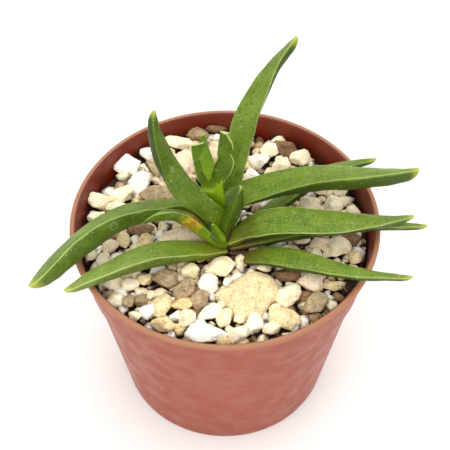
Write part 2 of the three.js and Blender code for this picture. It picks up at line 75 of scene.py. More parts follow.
# Leaves: the spine runs from the crown to the tip in the middle of the upper face; widths, keels and
# rolls are at even shares of its length. A roll of 0 lays the upper face level.
LEAVES = {
    "leaf_bud_front": {
        "spine": [(-0.1, -6.6, 61.4), (-1.2, -6.6, 65.2), (-2.5, -6.1, 67.9), (-3.3, -5.8, 69.8)],
        "widths": [1.8, 2.6, 2.4, 0.8],
        "keels": [1.5, 2.4, 2.2, 0.7],
        "rolls": [-50, -55, -55, -45],
    },
    "leaf_middle_left": {
        "spine": [
            (-0.7, -5.6, 61), (-3.4, -4.9, 64.2), (-6.1, -3.9, 66.9), (-9.2, -2.6, 69.4),
            (-12.4, -1.8, 70.2), (-16, -1.6, 70), (-19.9, -1.8, 68.6), (-23.3, -3.6, 67.4),
        ],
        "widths": [2.8, 3.8, 4.6, 5, 4.8, 4.4, 3.2, 1],
        "keels": [1.8, 2.4, 3, 3.4, 3.1, 2.6, 2, 0.8],
        "rolls": [45, 50, 50, 46, 42, 40, 38, 36],
    },
    "leaf_low_left": {
        "spine": [
            (0.2, -6.6, 60.2), (-6.6, -8.4, 62.8), (-13.1, -10.9, 65.8), (-19.6, -13.7, 67.8),
            (-25, -17, 69), (-30.2, -20.3, 69.4), (-35.6, -23.6, 69.2), (-41.2, -27.4, 68.8),
        ],
        "widths": [3, 6, 7, 7, 6.6, 5.6, 4, 1.8],
        "keels": [2, 3.8, 4.8, 5, 4.6, 3.8, 2.8, 1.2],
        "rolls": [12, 10, 8, 12, 13, 17, 18, 25],
    },
    "leaf_low_right": {
        "spine": [
            (1.6, -7, 57.2), (5.4, -9, 59.6), (10.6, -11.3, 63.5), (21, -16.2, 67.3), (31, -21, 69.2),
            (41.3, -22.8, 69.4), (48.4, -23.3, 69.1),
        ],
        "widths": [2.4, 5.6, 6.8, 5.4, 3.4, 1.6],
        "keels": [2, 3.6, 3.6, 2.8, 1.9, 1],
        "rolls": [2, 5, -4, -9, -18, -30],
    },
    "leaf_under_right": {
        "spine": [
            (1.4, -5.2, 59.8), (12, -4, 62.4), (20, -3.6, 64.4), (28, -3.7, 66.3), (36.2, -4, 67.6),
            (44.2, -4.5, 68.2), (54.4, -5.1, 68),
        ],
        "widths": [3.4, 5, 5.4, 5.4, 5, 4, 1.8],
        "keels": [1.8, 2.2, 2.5, 2.6, 2.2, 1.9, 1],
        "rolls": [-22, -22, -22, -24, -28, -28, -30],
    },
    "leaf_middle_right": {
        "spine": [
            (0.8, -4.6, 62), (7, -4.3, 67), (16, -5.2, 70.6), (27.8, -7, 72), (40, -6.1, 71.6),
            (50.5, -4.3, 71),
        ],
        "widths": [4.5, 8.2, 8.2, 7.2, 5, 1.8],
        "keels": [2.8, 4.2, 4.4, 3.8, 2.6, 1],
        "rolls": [-8, 8, 12, 4, -11, -38],
    },
    "leaf_short": {
        "spine": [
            (0.9, -5.8, 61.6), (-1.4, -5.3, 66.4), (-0.1, -3.6, 71.8), (1.8, -1.4, 74.6), (3.2, 0.2, 76.2),
            (4.2, 1.5, 77),
        ],
        "widths": [4.2, 5.8, 6.9, 6.6, 4.8, 1.4],
        "keels": [2, 2.6, 3.6, 4.4, 3.4, 1.3],
        "rolls": [-20, -24, -30, -36, -40, -40],
    },
    "leaf_upright_left": {
        "spine": [
            (-0.4, -4.2, 62.6), (-1.1, -4.5, 70.2), (-3.5, -5.1, 74.1), (-5.9, -4.3, 75.7),
            (-8.6, -2.2, 76.8), (-11.2, 0.6, 77), (-13.8, 4.8, 79), (-16.4, 8.4, 83.8),
            (-17.8, 10.8, 87.8), (-18.6, 12.8, 93.8),
        ],
        "widths": [3.2, 4.4, 5.2, 6.1, 6.7, 6.7, 5.8, 5, 3.3, 1.4],
        "keels": [2, 2.3, 2.5, 2.8, 3.5, 4.4, 4.5, 3.9, 2.6, 1.2],
        "rolls": [-87, -87, -82, -66, -29, 2, 20, 30, 47, 60],
    },
    "leaf_high_right": {
        "spine": [
            (0.6, -1.4, 65.4), (2.6, 2.4, 70.4), (9.4, 4.8, 72.7), (15, 5.5, 74.3), (25.5, 4.7, 78.2),
            (36, 3.9, 79.5), (46.5, 4.7, 79.3), (51.9, 5.4, 79),
        ],
        "widths": [5.4, 7, 7.2, 7.2, 7, 5.6, 3],
        "keels": [3.4, 5, 5.7, 5.7, 5.1, 4.1, 2.5],
        "rolls": [10, 12, 8, -4, -17, -29, -42],
    },
    "leaf_tall_upright": {
        "spine": [
            (0.6, -1, 62), (1.5, 4.8, 69), (3.1, 9.5, 79.5), (5.4, 14.5, 88.4), (8.7, 19.6, 94.2),
            (13.3, 24.6, 100.6), (18.9, 28.2, 105.8),
        ],
        "widths": [4.4, 5, 5.6, 6.9, 5.9, 4.6, 3.4],
        "keels": [2.6, 3, 3.4, 3.8, 3.4, 2.6, 1.8],
        "rolls": [-6, -6, 0, 12, -2, -25, -48],
    },
    "leaf_long_left": {
        "spine": [
            (-1.6, -2.2, 62), (-5, 0.2, 66.2), (-10.4, 3.2, 67.8), (-18, 2.6, 68.1),
            (-25.3, -1.4, 71.1), (-31, -5.5, 72.5), (-36.8, -10.5, 72.8), (-43, -17, 71.6),
            (-47.2, -21.9, 69.8), (-50.4, -25.6, 68.2),
        ],
        "widths": [3.6, 5, 6.4, 7.4, 8, 8, 8, 7.6, 6.4, 3.6],
        "keels": [2, 3, 3.8, 4.6, 5, 5.4, 5.8, 5.4, 4.6, 2.6],
        "rolls": [20, 28, 33, 24, 26, 35, 41, 43, 40, 40],
    },
    "leaf_back_right": {
        "spine": [
            (2.2, -1.6, 61), (7.1, 1.4, 62.4), (14.2, 5.8, 64.8), (20.6, 10.4, 67), (27.7, 14.8, 68.5),
            (34.5, 16.6, 69.3), (42.4, 18.2, 69.3),
        ],
        "widths": [3.6, 5, 6, 6.4, 5.8, 4.2, 1.6],
        "keels": [1.8, 2.2, 2.8, 3.4, 3, 2, 1],
        "rolls": [-24, -26, -26, -22, -26, -28, -31],
    },
}
YOUNG_ARMS = [
    {
        "spine": [(-3.8, -0.6, 76), (-4.6, -0.7, 80), (-5.6, -0.6, 83.3), (-6.4, 0, 88.5), (-6.9, 0.8, 93.9)],
        "widths": [3, 3.5, 3.8, 4, 4],
        "keels": [2, 2.2, 2, 1.7, 1.3],
        "rolls": [-99, -84, -37, -17, -10],
        "cut": True,
    },
    {
        "spine": [
            (-2.5, -0.6, 76), (-2.3, -0.7, 80.4), (-1.4, -0.7, 83.9), (-0.4, -0.3, 86.3), (0.2, 0.2, 88.5),
            (0.2, 1.1, 91.7), (0.2, 2.1, 96.4),
        ],
        "widths": [3.4, 3.7, 4.3, 5, 4.8, 4.2, 3.6],
        "keels": [2, 2.2, 2.2, 2, 1.7, 1.4, 1.1],
        "rolls": [96, 81, 65, 31, -6, -29, -37],
        "cut": True,
        "bites": [(0.69, 0.08, 1.5), (1, 0.13, 1.9)],
    },
]
YOUNG_SHEATH = {
    "spine": [
        (-0.8, -2.6, 65.6), (-1.9, -2, 69), (-2.7, -1.6, 72.6), (-3.3, -1.5, 76.6), (-3.6, -1.5, 80.8),
        (-3.7, -1.5, 83.4),
    ],
    "widths": [4.4, 5, 5.6, 6.1, 6.3, 6.3],
    "keels": [2.3, 2.5, 2.5, 2.4, 2.2, 2.2],
    "rolls": [120, 119, 107, 95, 90, 90],
    "cut": True,
    "seam": (0.1, 0.14, 0.45),
}
YOUNG_BUD = {
    "spine": [
        (-4.3, -1.5, 82.8), (-4.4, -1.2, 84.9), (-4.6, -0.4, 87.9), (-5.4, 0.8, 91.5), (-5.6, 1.8, 94),
        (-5.7, 2.4, 95.8),
    ],
    "widths": [0.9, 3, 3.4, 3, 2.4, 0.8],
    "keels": [0.9, 1.3, 1.3, 1.1, 0.8, 0.5],
    "rolls": [-11, -9, -15, -20, -8, -3],
}
# Strength of the pale margin at even shares of each leaf's length
PALE_MARGINS = {
    "leaf_long_left": (0.2, 0.6, 0.7),
    "leaf_low_left": (0.5, 0.8, 0.6),
    "leaf_middle_left": (0, 0.3, 0.9),
    "leaf_middle_right": (0.5, 0.7, 0.4),
    "leaf_high_right": (0.1, 0.4, 0.5),
    "leaf_low_right": (0.1, 0.35, 0.5),
    "leaf_tall_upright": (0.1, 0.35, 0.45),
    "leaf_upright_left": (0, 0.05, 0.15),
    "leaf_short": (*[0] * 7, 0.8),
    "leaf_bud_front": (0, 0, 0.1),
}
CROWNING = 0.42
TIP_SHARE = 0.06

# Stones by kind: x, y, length, width, height and turn in degrees
STONE_MIDDLE = 59.6
STONES = {
    "cream": [
        (-1.3, -12.6, 8.6, 6.2, 4.6, 10), (-9.4, -13.7, 5, 4.2, 4, 0), (-25.3, -18.7, 4.8, 4, 3.8, 50),
        (-29.9, -18, 5.2, 3.8, 3.8, 20), (-29, -23.6, 4.8, 4, 3.6, 10), (-23.5, -28.8, 3.4, 3, 3, 0),
        (-9.9, -29.4, 5.2, 4.4, 4, 70), (-0.3, -29.2, 5.4, 4, 4.2, 75), (3.4, -34.1, 6.4, 5.2, 4.4, 0),
        (3.9, -29.6, 3.4, 2.6, 3, 20), (12.2, -32.8, 5.2, 3.8, 3.8, 20), (16.9, -22.3, 7.4, 6, 5, 75),
        (10.6, -12.6, 4.4, 3.4, 2.6, 30), (24.9, -7.8, 4, 3, 2.8, 60), (29, -12.6, 5, 4, 3.4, 30),
        (24, 10.1, 7.2, 5.2, 4.4, 20), (30.8, 9.6, 6.4, 5.2, 4.4, 70), (36, 7.2, 4, 3, 3, 0),
        (28.8, 4.2, 5, 4, 3.2, 0), (36.2, 2.4, 3.6, 3, 2.8, 0), (13.2, 30.6, 6.4, 5, 4.2, 60),
        (15.7, 34.6, 4.2, 3.6, 3.4, 0), (22, 27.6, 6, 4.6, 4, 20), (16, 24.6, 6.2, 5, 4.2, 30),
        (27, 21.6, 6.8, 5.2, 4.4, 160), (21, 17, 5.6, 4.6, 4, 20), (27.2, 15.2, 4.6, 3.6, 3.4, 0),
        (33, 15.6, 5.4, 4.4, 4, 60), (-13.9, 33.6, 8.6, 4.4, 4.2, 170), (-19.4, 32.8, 5.4, 4.2, 4, 20),
        (-5.6, 19.4, 4.6, 4.4, 4, 60), (-29.3, 13.2, 7.6, 5.4, 4.6, 20),
        (-30.5, 8.8, 6.2, 2.8, 3.2, 20), (-35.5, 11.2, 8, 5.2, 5, 0), (-35.6, 4.6, 5.6, 3.4, 3.4, 10),
        (-33.2, -9.9, 4.6, 3.4, 3.4, 80), (-36.6, -8.6, 4.2, 3, 3.2, 70), (-14.2, -8, 5, 4, 3, 10),
        (-31.4, -14, 4.6, 3.4, 3.2, 20),
        (30.4, -5.7, 8.2, 6.6, 4.6, 0),
    ],
    "white": [
        (-4.3, -18.3, 6, 5.6, 4.4, 60), (-20.2, -27.5, 4.6, 4.4, 4, 0),
        (-4.9, -34.2, 10.6, 5.2, 4.6, 172), (-3.7, -27.5, 7.4, 4, 3.8, 35),
        (7.8, -31.4, 6.2, 4.4, 4.4, 70), (9.9, 26.6, 5.8, 4.8, 4.2, 10), (8.2, 19.6, 6.3, 5, 4.2, 100),
        (13.4, 15.8, 7, 5.4, 4.4, 130), (2.6, 34.4, 6.4, 4.6, 4.2, 20), (-28.6, 25, 8, 6.4, 5.6, 20),
        (-22.6, 29.6, 5, 3.6, 3.6, 140), (-25, 18.2, 7.2, 7, 5.4, 60), (-8, 9.6, 5, 3.6, 3.4, 30),
    ],
    "grey": [
        (-16.1, -17, 7, 5.6, 4, 20), (-10.6, -20.3, 6.6, 4.4, 4, 40), (-25.3, -24.2, 4.2, 3.2, 3.4, 80),
        (-21.9, -23.2, 4.2, 3.4, 3.4, 70), (24, -24.6, 7.4, 4.8, 4, 55),
        (-8, 37.4, 5.8, 4.8, 5, 0), (-20, 24.2, 7.2, 3.4, 3.6, 120), (-20, 13.6, 8.6, 5, 3.8, 10),
        (-13, 11.6, 7, 4.4, 3.8, 10), (-22.7, 0.4, 6, 3.4, 3.2, 0), (-6.6, -23.6, 5, 4.4, 3.6, 30),
    ],
    "tan": [
        (-17.1, -25.2, 7.4, 5.4, 4.6, 65), (-16.1, -31.3, 6.5, 4, 3.8, 0),
        (15.6, -29.4, 8.8, 5.6, 4.6, 165), (35.3, -9.2, 4.4, 3.6, 3.4, 80),
        (29.3, -18.7, 5.9, 2.8, 2.8, 10), (-13.4, 18.2, 5.6, 3.6, 3.4, 130),
        (-21.8, -3.6, 4.8, 4, 3.4, 60), (-27.8, -3.4, 5.2, 3.6, 3.6, 80), (-6.4, -8.6, 5, 3.6, 2.8, 30),
    ],
    "amber": [
        (-11.1, -24.9, 6.3, 3.8, 3.6, 10), (-21.4, -17, 4, 3.4, 3.4, 0),
    ],
    "brown": [
        (16.7, -15.4, 7.5, 3.8, 3.2, 170), (34.6, -2.6, 5, 3.8, 3.2, 160), (19, 5.2, 5, 4, 3, 40),
        (18, 31.4, 8.8, 5, 4.4, 145), (-2.6, 39.4, 6.4, 2.6, 3, 4),
    ],
    "rose": [
        (22.9, -18.3, 6.7, 5.4, 4.6, 20), (25.5, -4.3, 5.5, 3.6, 3, 20), (21.2, -3, 4.4, 3, 2.8, 0),
        (17, -7.4, 5, 3.6, 2.8, 10), (5, 38.2, 4.2, 3.4, 3.2, 0), (-11.4, 25.8, 8.8, 5.8, 5, 100),
        (-3.2, 30, 8, 4.6, 4.8, 95), (-12.4, -1.8, 12, 4.4, 3.4, 4), (-31.3, -5.6, 4.9, 3.4, 3.4, 20),
        (-22.3, -21, 3.2, 2.8, 2.8, 0),
    ],
}
LARGE_STONE = (6.3, -22.1, 18.6, 14.4)
LARGE_STONE_RADII = [8.8, 8.8, 8.8, 8.3, 7.5, 6.5, 6, 6.6, 9.2, 6.8, 6.9, 7.8, 7.4, 7.6, 6.6, 6.2]
LARGE_STONE_HEIGHT = 4.7
# Patches without random stones, by x, y and reach
BARE = [(34.4, -19.4, 4.4), (-39, 6.4, 2.6), (-37.4, -12.6, 2.4), (-33, 19.4, 3), (-15.6, 38.4, 4)]
FILL_STONES = 90
FILL_TRIES = 1500
FILL_OVERLAP = 0.82
FILL_SIZES = (2.6, 5)
FILL_HEIGHTS = (0.55, 0.8)
FILL_LIFTS = (0.4, 1.6)
STONE_WIDTHS = (0.65, 0.95)  # as shares of the length
CROWN_CLEARANCE = 5
LAYOUT_SEED = 411

# View of the photograph
CAMERA_ELEVATION = 50.2
CAMERA_DISTANCE = 320
CAMERA_TARGET = (0, -1.32, 63.9)
CAMERA_LENS = 93.63


def draws(seed):
    """Seeded random draws between two values, the same every time."""
    state = seed

    def draw(low, high):
        nonlocal state
        state = state * 16807 % 2147483647
        return low + (high - low) * state / 2147483647

    return draw


def mix(start, end, share):
    return start + (end - start) * share


def along(settings, share):
    """A value read off evenly spaced settings at a share of the length."""
    place = share * (len(settings) - 1)
    index = min(int(place), len(settings) - 2)
    return mix(settings[index], settings[index + 1], place - index)


def inner_wall(height):
    """Inside radius of the pot's wall at a height."""
    rise = RIM_RADIUS - LIP - BASE_RADIUS + WALL - SHELF_STEP
    radius = BASE_RADIUS - WALL + rise * height / POT_HEIGHT
    return radius + SHELF_STEP if height > SHELF_HEIGHT else radius


BED_RADIUS = inner_wall(GRAVEL_TOP) - GAP


# Modelling helpers


def select_only(*pieces):
    if bpy.context.object and bpy.context.object.mode != "OBJECT":
        bpy.ops.object.mode_set(mode="OBJECT")
    bpy.ops.object.select_all(action="DESELECT")
    for piece in pieces:
        piece.select_set(True)
        bpy.context.view_layer.objects.active = piece


def edit_mode():
    bpy.ops.object.mode_set(mode="EDIT")


def object_mode():
    bpy.ops.object.mode_set(mode="OBJECT")


def shape_with(piece, kind, **settings):
    """Adds a modifier and applies it."""
    select_only(piece)
    modifier = piece.modifiers.new(kind, kind)
    for name, value in settings.items():
        setattr(modifier, name, value)
    bpy.ops.object.modifier_apply(modifier=modifier.name)


def copy_of(piece, name):
    copied = piece.copy()
    copied.data = piece.data.copy()
    copied.name = name
    bpy.context.collection.objects.link(copied)
    return copied


def join(pieces, name):
    select_only(*pieces)
    bpy.ops.object.join()
    joined = bpy.context.object
    joined.name = name
    return joined


def remove(*pieces):
    for piece in pieces:
        bpy.data.objects.remove(piece)


def set_attribute(piece, name, values):
    attribute = piece.data.attributes.get(name) or piece.data.attributes.new(name, "FLOAT", "POINT")
    attribute.data.foreach_set("value", values)


def read_mark(piece, name):
    return [item.value for item in piece.data.attributes[name].data]


def lathe(name, outline, steps):
    """Draws an outline of radius and height by extruding one point, then spins it about the pot's axis."""
    select_only()
    points = [Vector((radius, 0, height)) * MM for radius, height in outline]
    bpy.ops.mesh.primitive_plane_add(size=MM, location=points[0])
    edit_mode()
    bpy.ops.mesh.merge(type="CENTER")
    for start, end in zip(points, points[1:]):
        bpy.ops.mesh.extrude_region_move(TRANSFORM_OT_translate={"value": end - start})
    bpy.ops.mesh.select_all(action="SELECT")
    bpy.ops.mesh.spin(steps=steps, angle=math.tau, center=(0, 0, 0), axis=(0, 0, 1))
    bpy.ops.mesh.select_all(action="SELECT")
    bpy.ops.mesh.remove_doubles(threshold=0.01 * MM)
    bpy.ops.mesh.dissolve_degenerate(threshold=0.001 * MM)
    bpy.ops.mesh.normals_make_consistent(inside=False)
    object_mode()
    bpy.ops.object.transform_apply(location=True, rotation=True, scale=True)
    spun = bpy.context.object
    spun.name = name
    return spun


def finish(piece, material, slot, *nodes, angle=None):
    """Gives a piece its material and its place in the frame."""
    piece.data.materials.clear()
    piece.data.materials.append(material)
    select_only(piece)
    bpy.ops.object.shade_smooth()
    if angle:
        bpy.ops.object.shade_smooth_by_angle(angle=math.radians(angle))
    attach(piece, "root")
    if nodes:
        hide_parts(*nodes)
    return piece


# Material helpers

MIX_FACTOR, MIX_A, MIX_B, MIXED = 0, 6, 7, 2


def linear(colour):
    """An sRGB hex colour as linear red, green, blue and alpha."""
    channels = [int(colour[i : i + 2], 16) / 255 for i in (1, 3, 5)]
    bent = [c / 12.92 if c <= 0.04045 else ((c + 0.055) / 1.055) ** 2.4 for c in channels]
    return (*bent, 1)


def feed(tree, node, inputs):
    """Sets a node's inputs to values, or links them to other nodes' outputs."""
    for socket, value in inputs.items():
        if isinstance(value, bpy.types.NodeSocket):
            tree.links.new(value, node.inputs[socket])
        else:
            node.inputs[socket].default_value = value


def add(tree, kind, inputs=None, **settings):
    """Adds a shader node: settings are its own, and inputs are values or other nodes' outputs."""
    made = tree.nodes.new("ShaderNode" + kind)
    for name, value in settings.items():
        setattr(made, name, value)
    feed(tree, made, inputs or {})
    return made


def blend(tree, factor, start, end, mode="MIX"):
    """Colour start turning to end by a factor."""
    inputs = {MIX_FACTOR: factor, MIX_A: start, MIX_B: end}
    return add(tree, "Mix", inputs, data_type="RGBA", blend_type=mode).outputs[MIXED]


def step(tree, value, low, high, start=0.0, end=1.0):
    """A value eased from start to end as it passes from low to high."""
    inputs = {"Value": value, "From Min": low, "From Max": high, "To Min": start, "To Max": end}
    return add(tree, "MapRange", inputs, interpolation_type="SMOOTHSTEP").outputs["Result"]


def grain(size):
    """Pattern scale for details of a size in millimetres."""
    return 1 / (size * MM)


def calc(tree, operation, *values):
    """What a math node makes of some values."""
    return add(tree, "Math", dict(enumerate(values)), operation=operation).outputs[0]


def speckle(tree, place, size, detail, **inputs):
    """Cloudy noise with details of a size in millimetres."""
    inputs = {"Vector": place, "Scale": grain(size), "Detail": detail, **inputs}
    return add(tree, "TexNoise", inputs).outputs["Fac"]


def bump(tree, height, strength, depth, **inputs):
    """Surface raised by a height, by up to a depth in millimetres."""
    inputs = {"Height": height, "Strength": strength, "Distance": depth * MM, **inputs}
    return add(tree, "Bump", inputs).outputs["Normal"]


def marked(tree, name):
    """A mark that the points of a piece carry."""
    return add(tree, "Attribute", attribute_name=name).outputs["Fac"]


def new_material(name, roughness, ior):
    """An empty material with its shader's fixed values set."""
    material = bpy.data.materials.new(name)
    material.use_nodes = True
    tree = material.node_tree
    shader = tree.nodes["Principled BSDF"]
    feed(tree, shader, {"Roughness": roughness, "IOR": ior})
    place = add(tree, "TexCoord").outputs["Object"]
    return material, tree, shader, place


# Materials


def pot_plastic(settings):
    """Injection-moulded polypropylene, coloured like terracotta: satin, with faint flow marks and soil dust
    on the inner wall. The inner wall is darkened by painted shade, and the top of the lip is lightened by a
    painted highlight."""
    material, tree, shader, place = new_material("terracotta_polypropylene", 0.42, 1.49)
    height = add(tree, "SeparateXYZ", {"Vector": place}).outputs["Z"]
    inward = marked(tree, "inside")
    # flow marks 12 mm across, drawn out up the wall
    stretch = add(tree, "Mapping", {"Vector": place, "Scale": (1, 1, 0.25)}).outputs["Vector"]
    flow = speckle(tree, stretch, 12, 3.0)
    clay = blend(tree, step(tree, flow, 0.35, 0.65), settings.clay, settings.clay_light)
    # painted highlight: the top of the lip is painted paler, as where light catches it
    lip = step(tree, height, (POT_HEIGHT - 1.6) * MM, (POT_HEIGHT - 0.5) * MM)
    clay = blend(tree, lip, clay, settings.clay_lip_highlight)
    # dust and splashed soil in patches of 5 mm, thickest just over the gravel
    dust = speckle(tree, place, 5, 6.0)
    low = step(tree, height, (GRAVEL_TOP + 1) * MM, (POT_HEIGHT - 3) * MM, 0.95, 0.1)
    soiled = calc(tree, "MULTIPLY", step(tree, dust, 0.38, 0.58), low)
    soiled = calc(tree, "MULTIPLY", soiled, inward)
    # painted shade: the whole inner wall is darkened as if it were out of the light
    shaded = calc(tree, "MULTIPLY", inward, 0.9)
    clay = blend(tree, shaded, clay, settings.clay_inside_shade)
    clay = blend(tree, soiled, clay, settings.wall_soil)
    rough = step(tree, dust, 0.3, 0.7, 0.36, 0.55)
    # fine moulded texture of 0.6 mm
    fine = bump(tree, speckle(tree, place, 0.6, 2.0), 0.08, 0.1)
    feed(tree, shader, {"Base Color": clay, "Roughness": rough, "Normal": fine})
    return material


def potting_mix(name="damp_potting_mix"):
    """Damp peat and bark: nearly black brown crumbs with lighter fibres, quite matt."""
    material, tree, shader, place = new_material(name, 0.95, 1.45)
    crumbs = add(tree, "TexVoronoi", {"Vector": place, "Scale": grain(0.9)}).outputs["Color"]
    tone = add(tree, "SeparateColor", {"Color": crumbs}).outputs[0]
    colour = blend(tree, tone, linear("#1d120c"), linear("#4a3020"))
    # bark flecks of 2.5 mm
    flecks = speckle(tree, place, 2.5, 4.0)
    colour = blend(tree, step(tree, flecks, 0.6, 0.72), colour, linear("#8a6545"))
    rough = bump(tree, speckle(tree, place, 0.5, 5.0), 0.9, 0.4)
    feed(tree, shader, {"Base Color": colour, "Normal": rough})
    return material


# How a leaf takes light: a weak shine, and a little of it let in
LEAF_LIGHT = {
    "Specular IOR Level": 0.25,
    "Subsurface Weight": 0.1,
    "Subsurface Radius": (0.8, 1.0, 0.2),
    "Subsurface Scale": 0.6 * MM,
}
LEAF_MARKS = ("along", "across", "rim", "dry", "pale", "inner", "spot", "flank", "waxy", "wrapped")


def leaf_skin(name, settings, fresh, deep, gloss, waxen=1.0, ringed=0.0):
    """Thick succulent leaf skin with a thin bloom of wax: satin and a little translucent, finely grained
    like a crocodile's, with a pale hard margin, a keeled side darkened by painted shade, and small white
    flecks and rings of dried salts. Inner faces, hollows and some whole leaves get painted shade too. The
    tip yellows and the base pales."""
    material, tree, shader, place = new_material(name, gloss, 1.42)
    marks = (marked(tree, kind) for kind in LEAF_MARKS)
    along_leaf, across, rim, dry, pale, inner, spot, flank, waxy, wrapped = marks
    # broad patches of 5 mm
    patches = speckle(tree, place, 5, 4.0)
    colour = blend(tree, step(tree, patches, 0.35, 0.65), deep, fresh)
    # veins along the leaf, less than half a millimetre apart
    lanes = add(tree, "CombineXYZ", {"X": along_leaf, "Y": across, "Z": dry}).outputs["Vector"]
    lanes = add(tree, "Mapping", {"Vector": lanes, "Scale": (4, 10, 3)}).outputs["Vector"]
    veins = add(tree, "TexNoise", {"Vector": lanes, "Scale": 1.6, "Detail": 4.0}).outputs["Fac"]
    colour = blend(tree, step(tree, veins, 0.42, 0.7, 0.0, 0.5), colour, settings.vein)
    # the wax bloom pales the skin in patches of 3 mm
    wax = speckle(tree, place, 3, 5.0)
    waxed = calc(tree, "ADD", step(tree, wax, 0.45, 0.75, 0.0, 0.3 * waxen), waxy)
    colour = blend(tree, waxed, colour, settings.bloom)
    # dark and light cells of 0.6 mm, drawn coarser than the real ones
    cells = speckle(tree, place, 0.6, 3.0, Roughness=0.7)
    colour = blend(tree, step(tree, cells, 0.3, 0.5, 0.5, 0.0), colour, settings.shade_and_cell_green)
    colour = blend(tree, step(tree, cells, 0.5, 0.68, 0.0, 0.42 * waxen), colour, settings.bloom)
    # painted shade: the keeled side of the leaf is darkened as if out of the light
    keel_shade = calc(tree, "MULTIPLY", step(tree, rim, -0.9, -0.1, 1.0, 0.0), flank)
    colour = blend(tree, keel_shade, colour, settings.shade_and_cell_green)
    # base of the leaf, pale where it was wrapped, brown where the leaf is old
    out = calc(tree, "DIVIDE", along_leaf, wrapped)
    colour = blend(tree, step(tree, out, 0.03, 0.36, 0.75, 0.0), colour, settings.base)
    withered = calc(tree, "MULTIPLY", dry, step(tree, along_leaf, 0.02, 0.3, 1.0, 0.0))
    colour = blend(tree, withered, colour, settings.withered)
    # painted shade from the inner mark: inner faces, hollows, the bud and shaded leaves
    shaded = calc(tree, "MULTIPLY", inner, 0.6)
    colour = blend(tree, shaded, colour, settings.shade_and_cell_green)
    tip = step(tree, along_leaf, 0.94, 1.0, 0.0, 0.7)
    colour = blend(tree, tip, colour, settings.tip)
    # margin, 0.3 mm wide
    edge = calc(tree, "ABSOLUTE", rim)
    margin = calc(tree, "MULTIPLY", step(tree, edge, 0.06, 0.3, 0.8, 0.0), pale)
    colour = blend(tree, margin, colour, settings.margin)
    # white flecks, the largest 0.4 mm across, thicker in some places than in others
    dots = add(tree, "TexVoronoi", {"Vector": place, "Scale": grain(1.1)})
    chance = add(tree, "SeparateColor", {"Color": dots.outputs["Color"]})
    size = calc(tree, "MULTIPLY", step(tree, chance.outputs[0], 0.5, 1.0, 0.0, 0.15), wax)
    size = calc(tree, "MULTIPLY", size, 1.7)
    fleck = calc(tree, "LESS_THAN", dots.outputs["Distance"], size)
    fleck = calc(tree, "MULTIPLY", fleck, 0.6)
    colour = blend(tree, fleck, colour, settings.fleck)
    # faint broken rings 2.5 mm across, one every 9 mm
    rings = add(tree, "TexVoronoi", {"Vector": place, "Scale": grain(9)}).outputs["Distance"]
    wobble = step(tree, wax, 0.3, 0.7, 0.115, 0.155)
    off = calc(tree, "SUBTRACT", rings, wobble)
    off = calc(tree, "ABSOLUTE", off)
    ring = step(tree, off, 0.004, 0.026, ringed, 0.0)
    broken = calc(tree, "MULTIPLY", ring, step(tree, veins, 0.35, 0.6))
    colour = blend(tree, broken, colour, settings.fleck)
    # a sore patch with ragged edges and brown specks
    ragged = speckle(tree, place, 1.6, 5.0)
    reach = calc(tree, "ADD", ragged, spot)
    colour = blend(tree, step(tree, reach, 0.7, 1.3), colour, settings.sore)
    scab = speckle(tree, place, 1.1, 6.0, Roughness=0.7)
    scab = calc(tree, "ADD", scab, spot)
    colour = blend(tree, step(tree, scab, 1.12, 1.3, 0.0, 0.85), colour, settings.scab)
    sheen = step(tree, wax, 0.3, 0.7, gloss - 0.08, gloss + 0.12)
    # raised cells over shallow ribs
    raised = bump(tree, calc(tree, "ADD", fleck, cells), 0.35, 0.15)
    ribbed = bump(tree, veins, 0.3, 0.25, Normal=raised)
    feed(tree, shader, {"Base Color": colour, "Roughness": sheen, "Normal": ribbed, **LEAF_LIGHT})
    return material


# What each kind of stone is: light and dark colour, colour of its stains, share of pits, roughness
STONE_FINISHES = {
    "cream": ("cream_limestone", "#fff6d6", "#f0dba8", "#c39a56", 0.45, 0.85),
    "white": ("white_quartz", "#fffdf3", "#faf1dd", "#dcc49c", 0.2, 0.65),
    "grey": ("grey_granite", "#c4ad86", "#866b4b", "#523e28", 0.6, 0.85),
    "tan": ("tan_sandstone", "#f6e3b0", "#dabd80", "#a4773d", 0.8, 0.9),
    "amber": ("amber_flint", "#f8e6b6", "#deb978", "#ac7a3c", 0.3, 0.6),
    "brown": ("brown_bark_chip", "#a5805a", "#6a4c30", "#2e1c10", 0.6, 0.9),
    "rose": ("rose_feldspar", "#f8e4c4", "#dcc096", "#97754e", 0.45, 0.8),
    "slab": ("yellow_sandstone", "#efdcac", "#dcc28d", "#86653f", 0.85, 0.92),
}


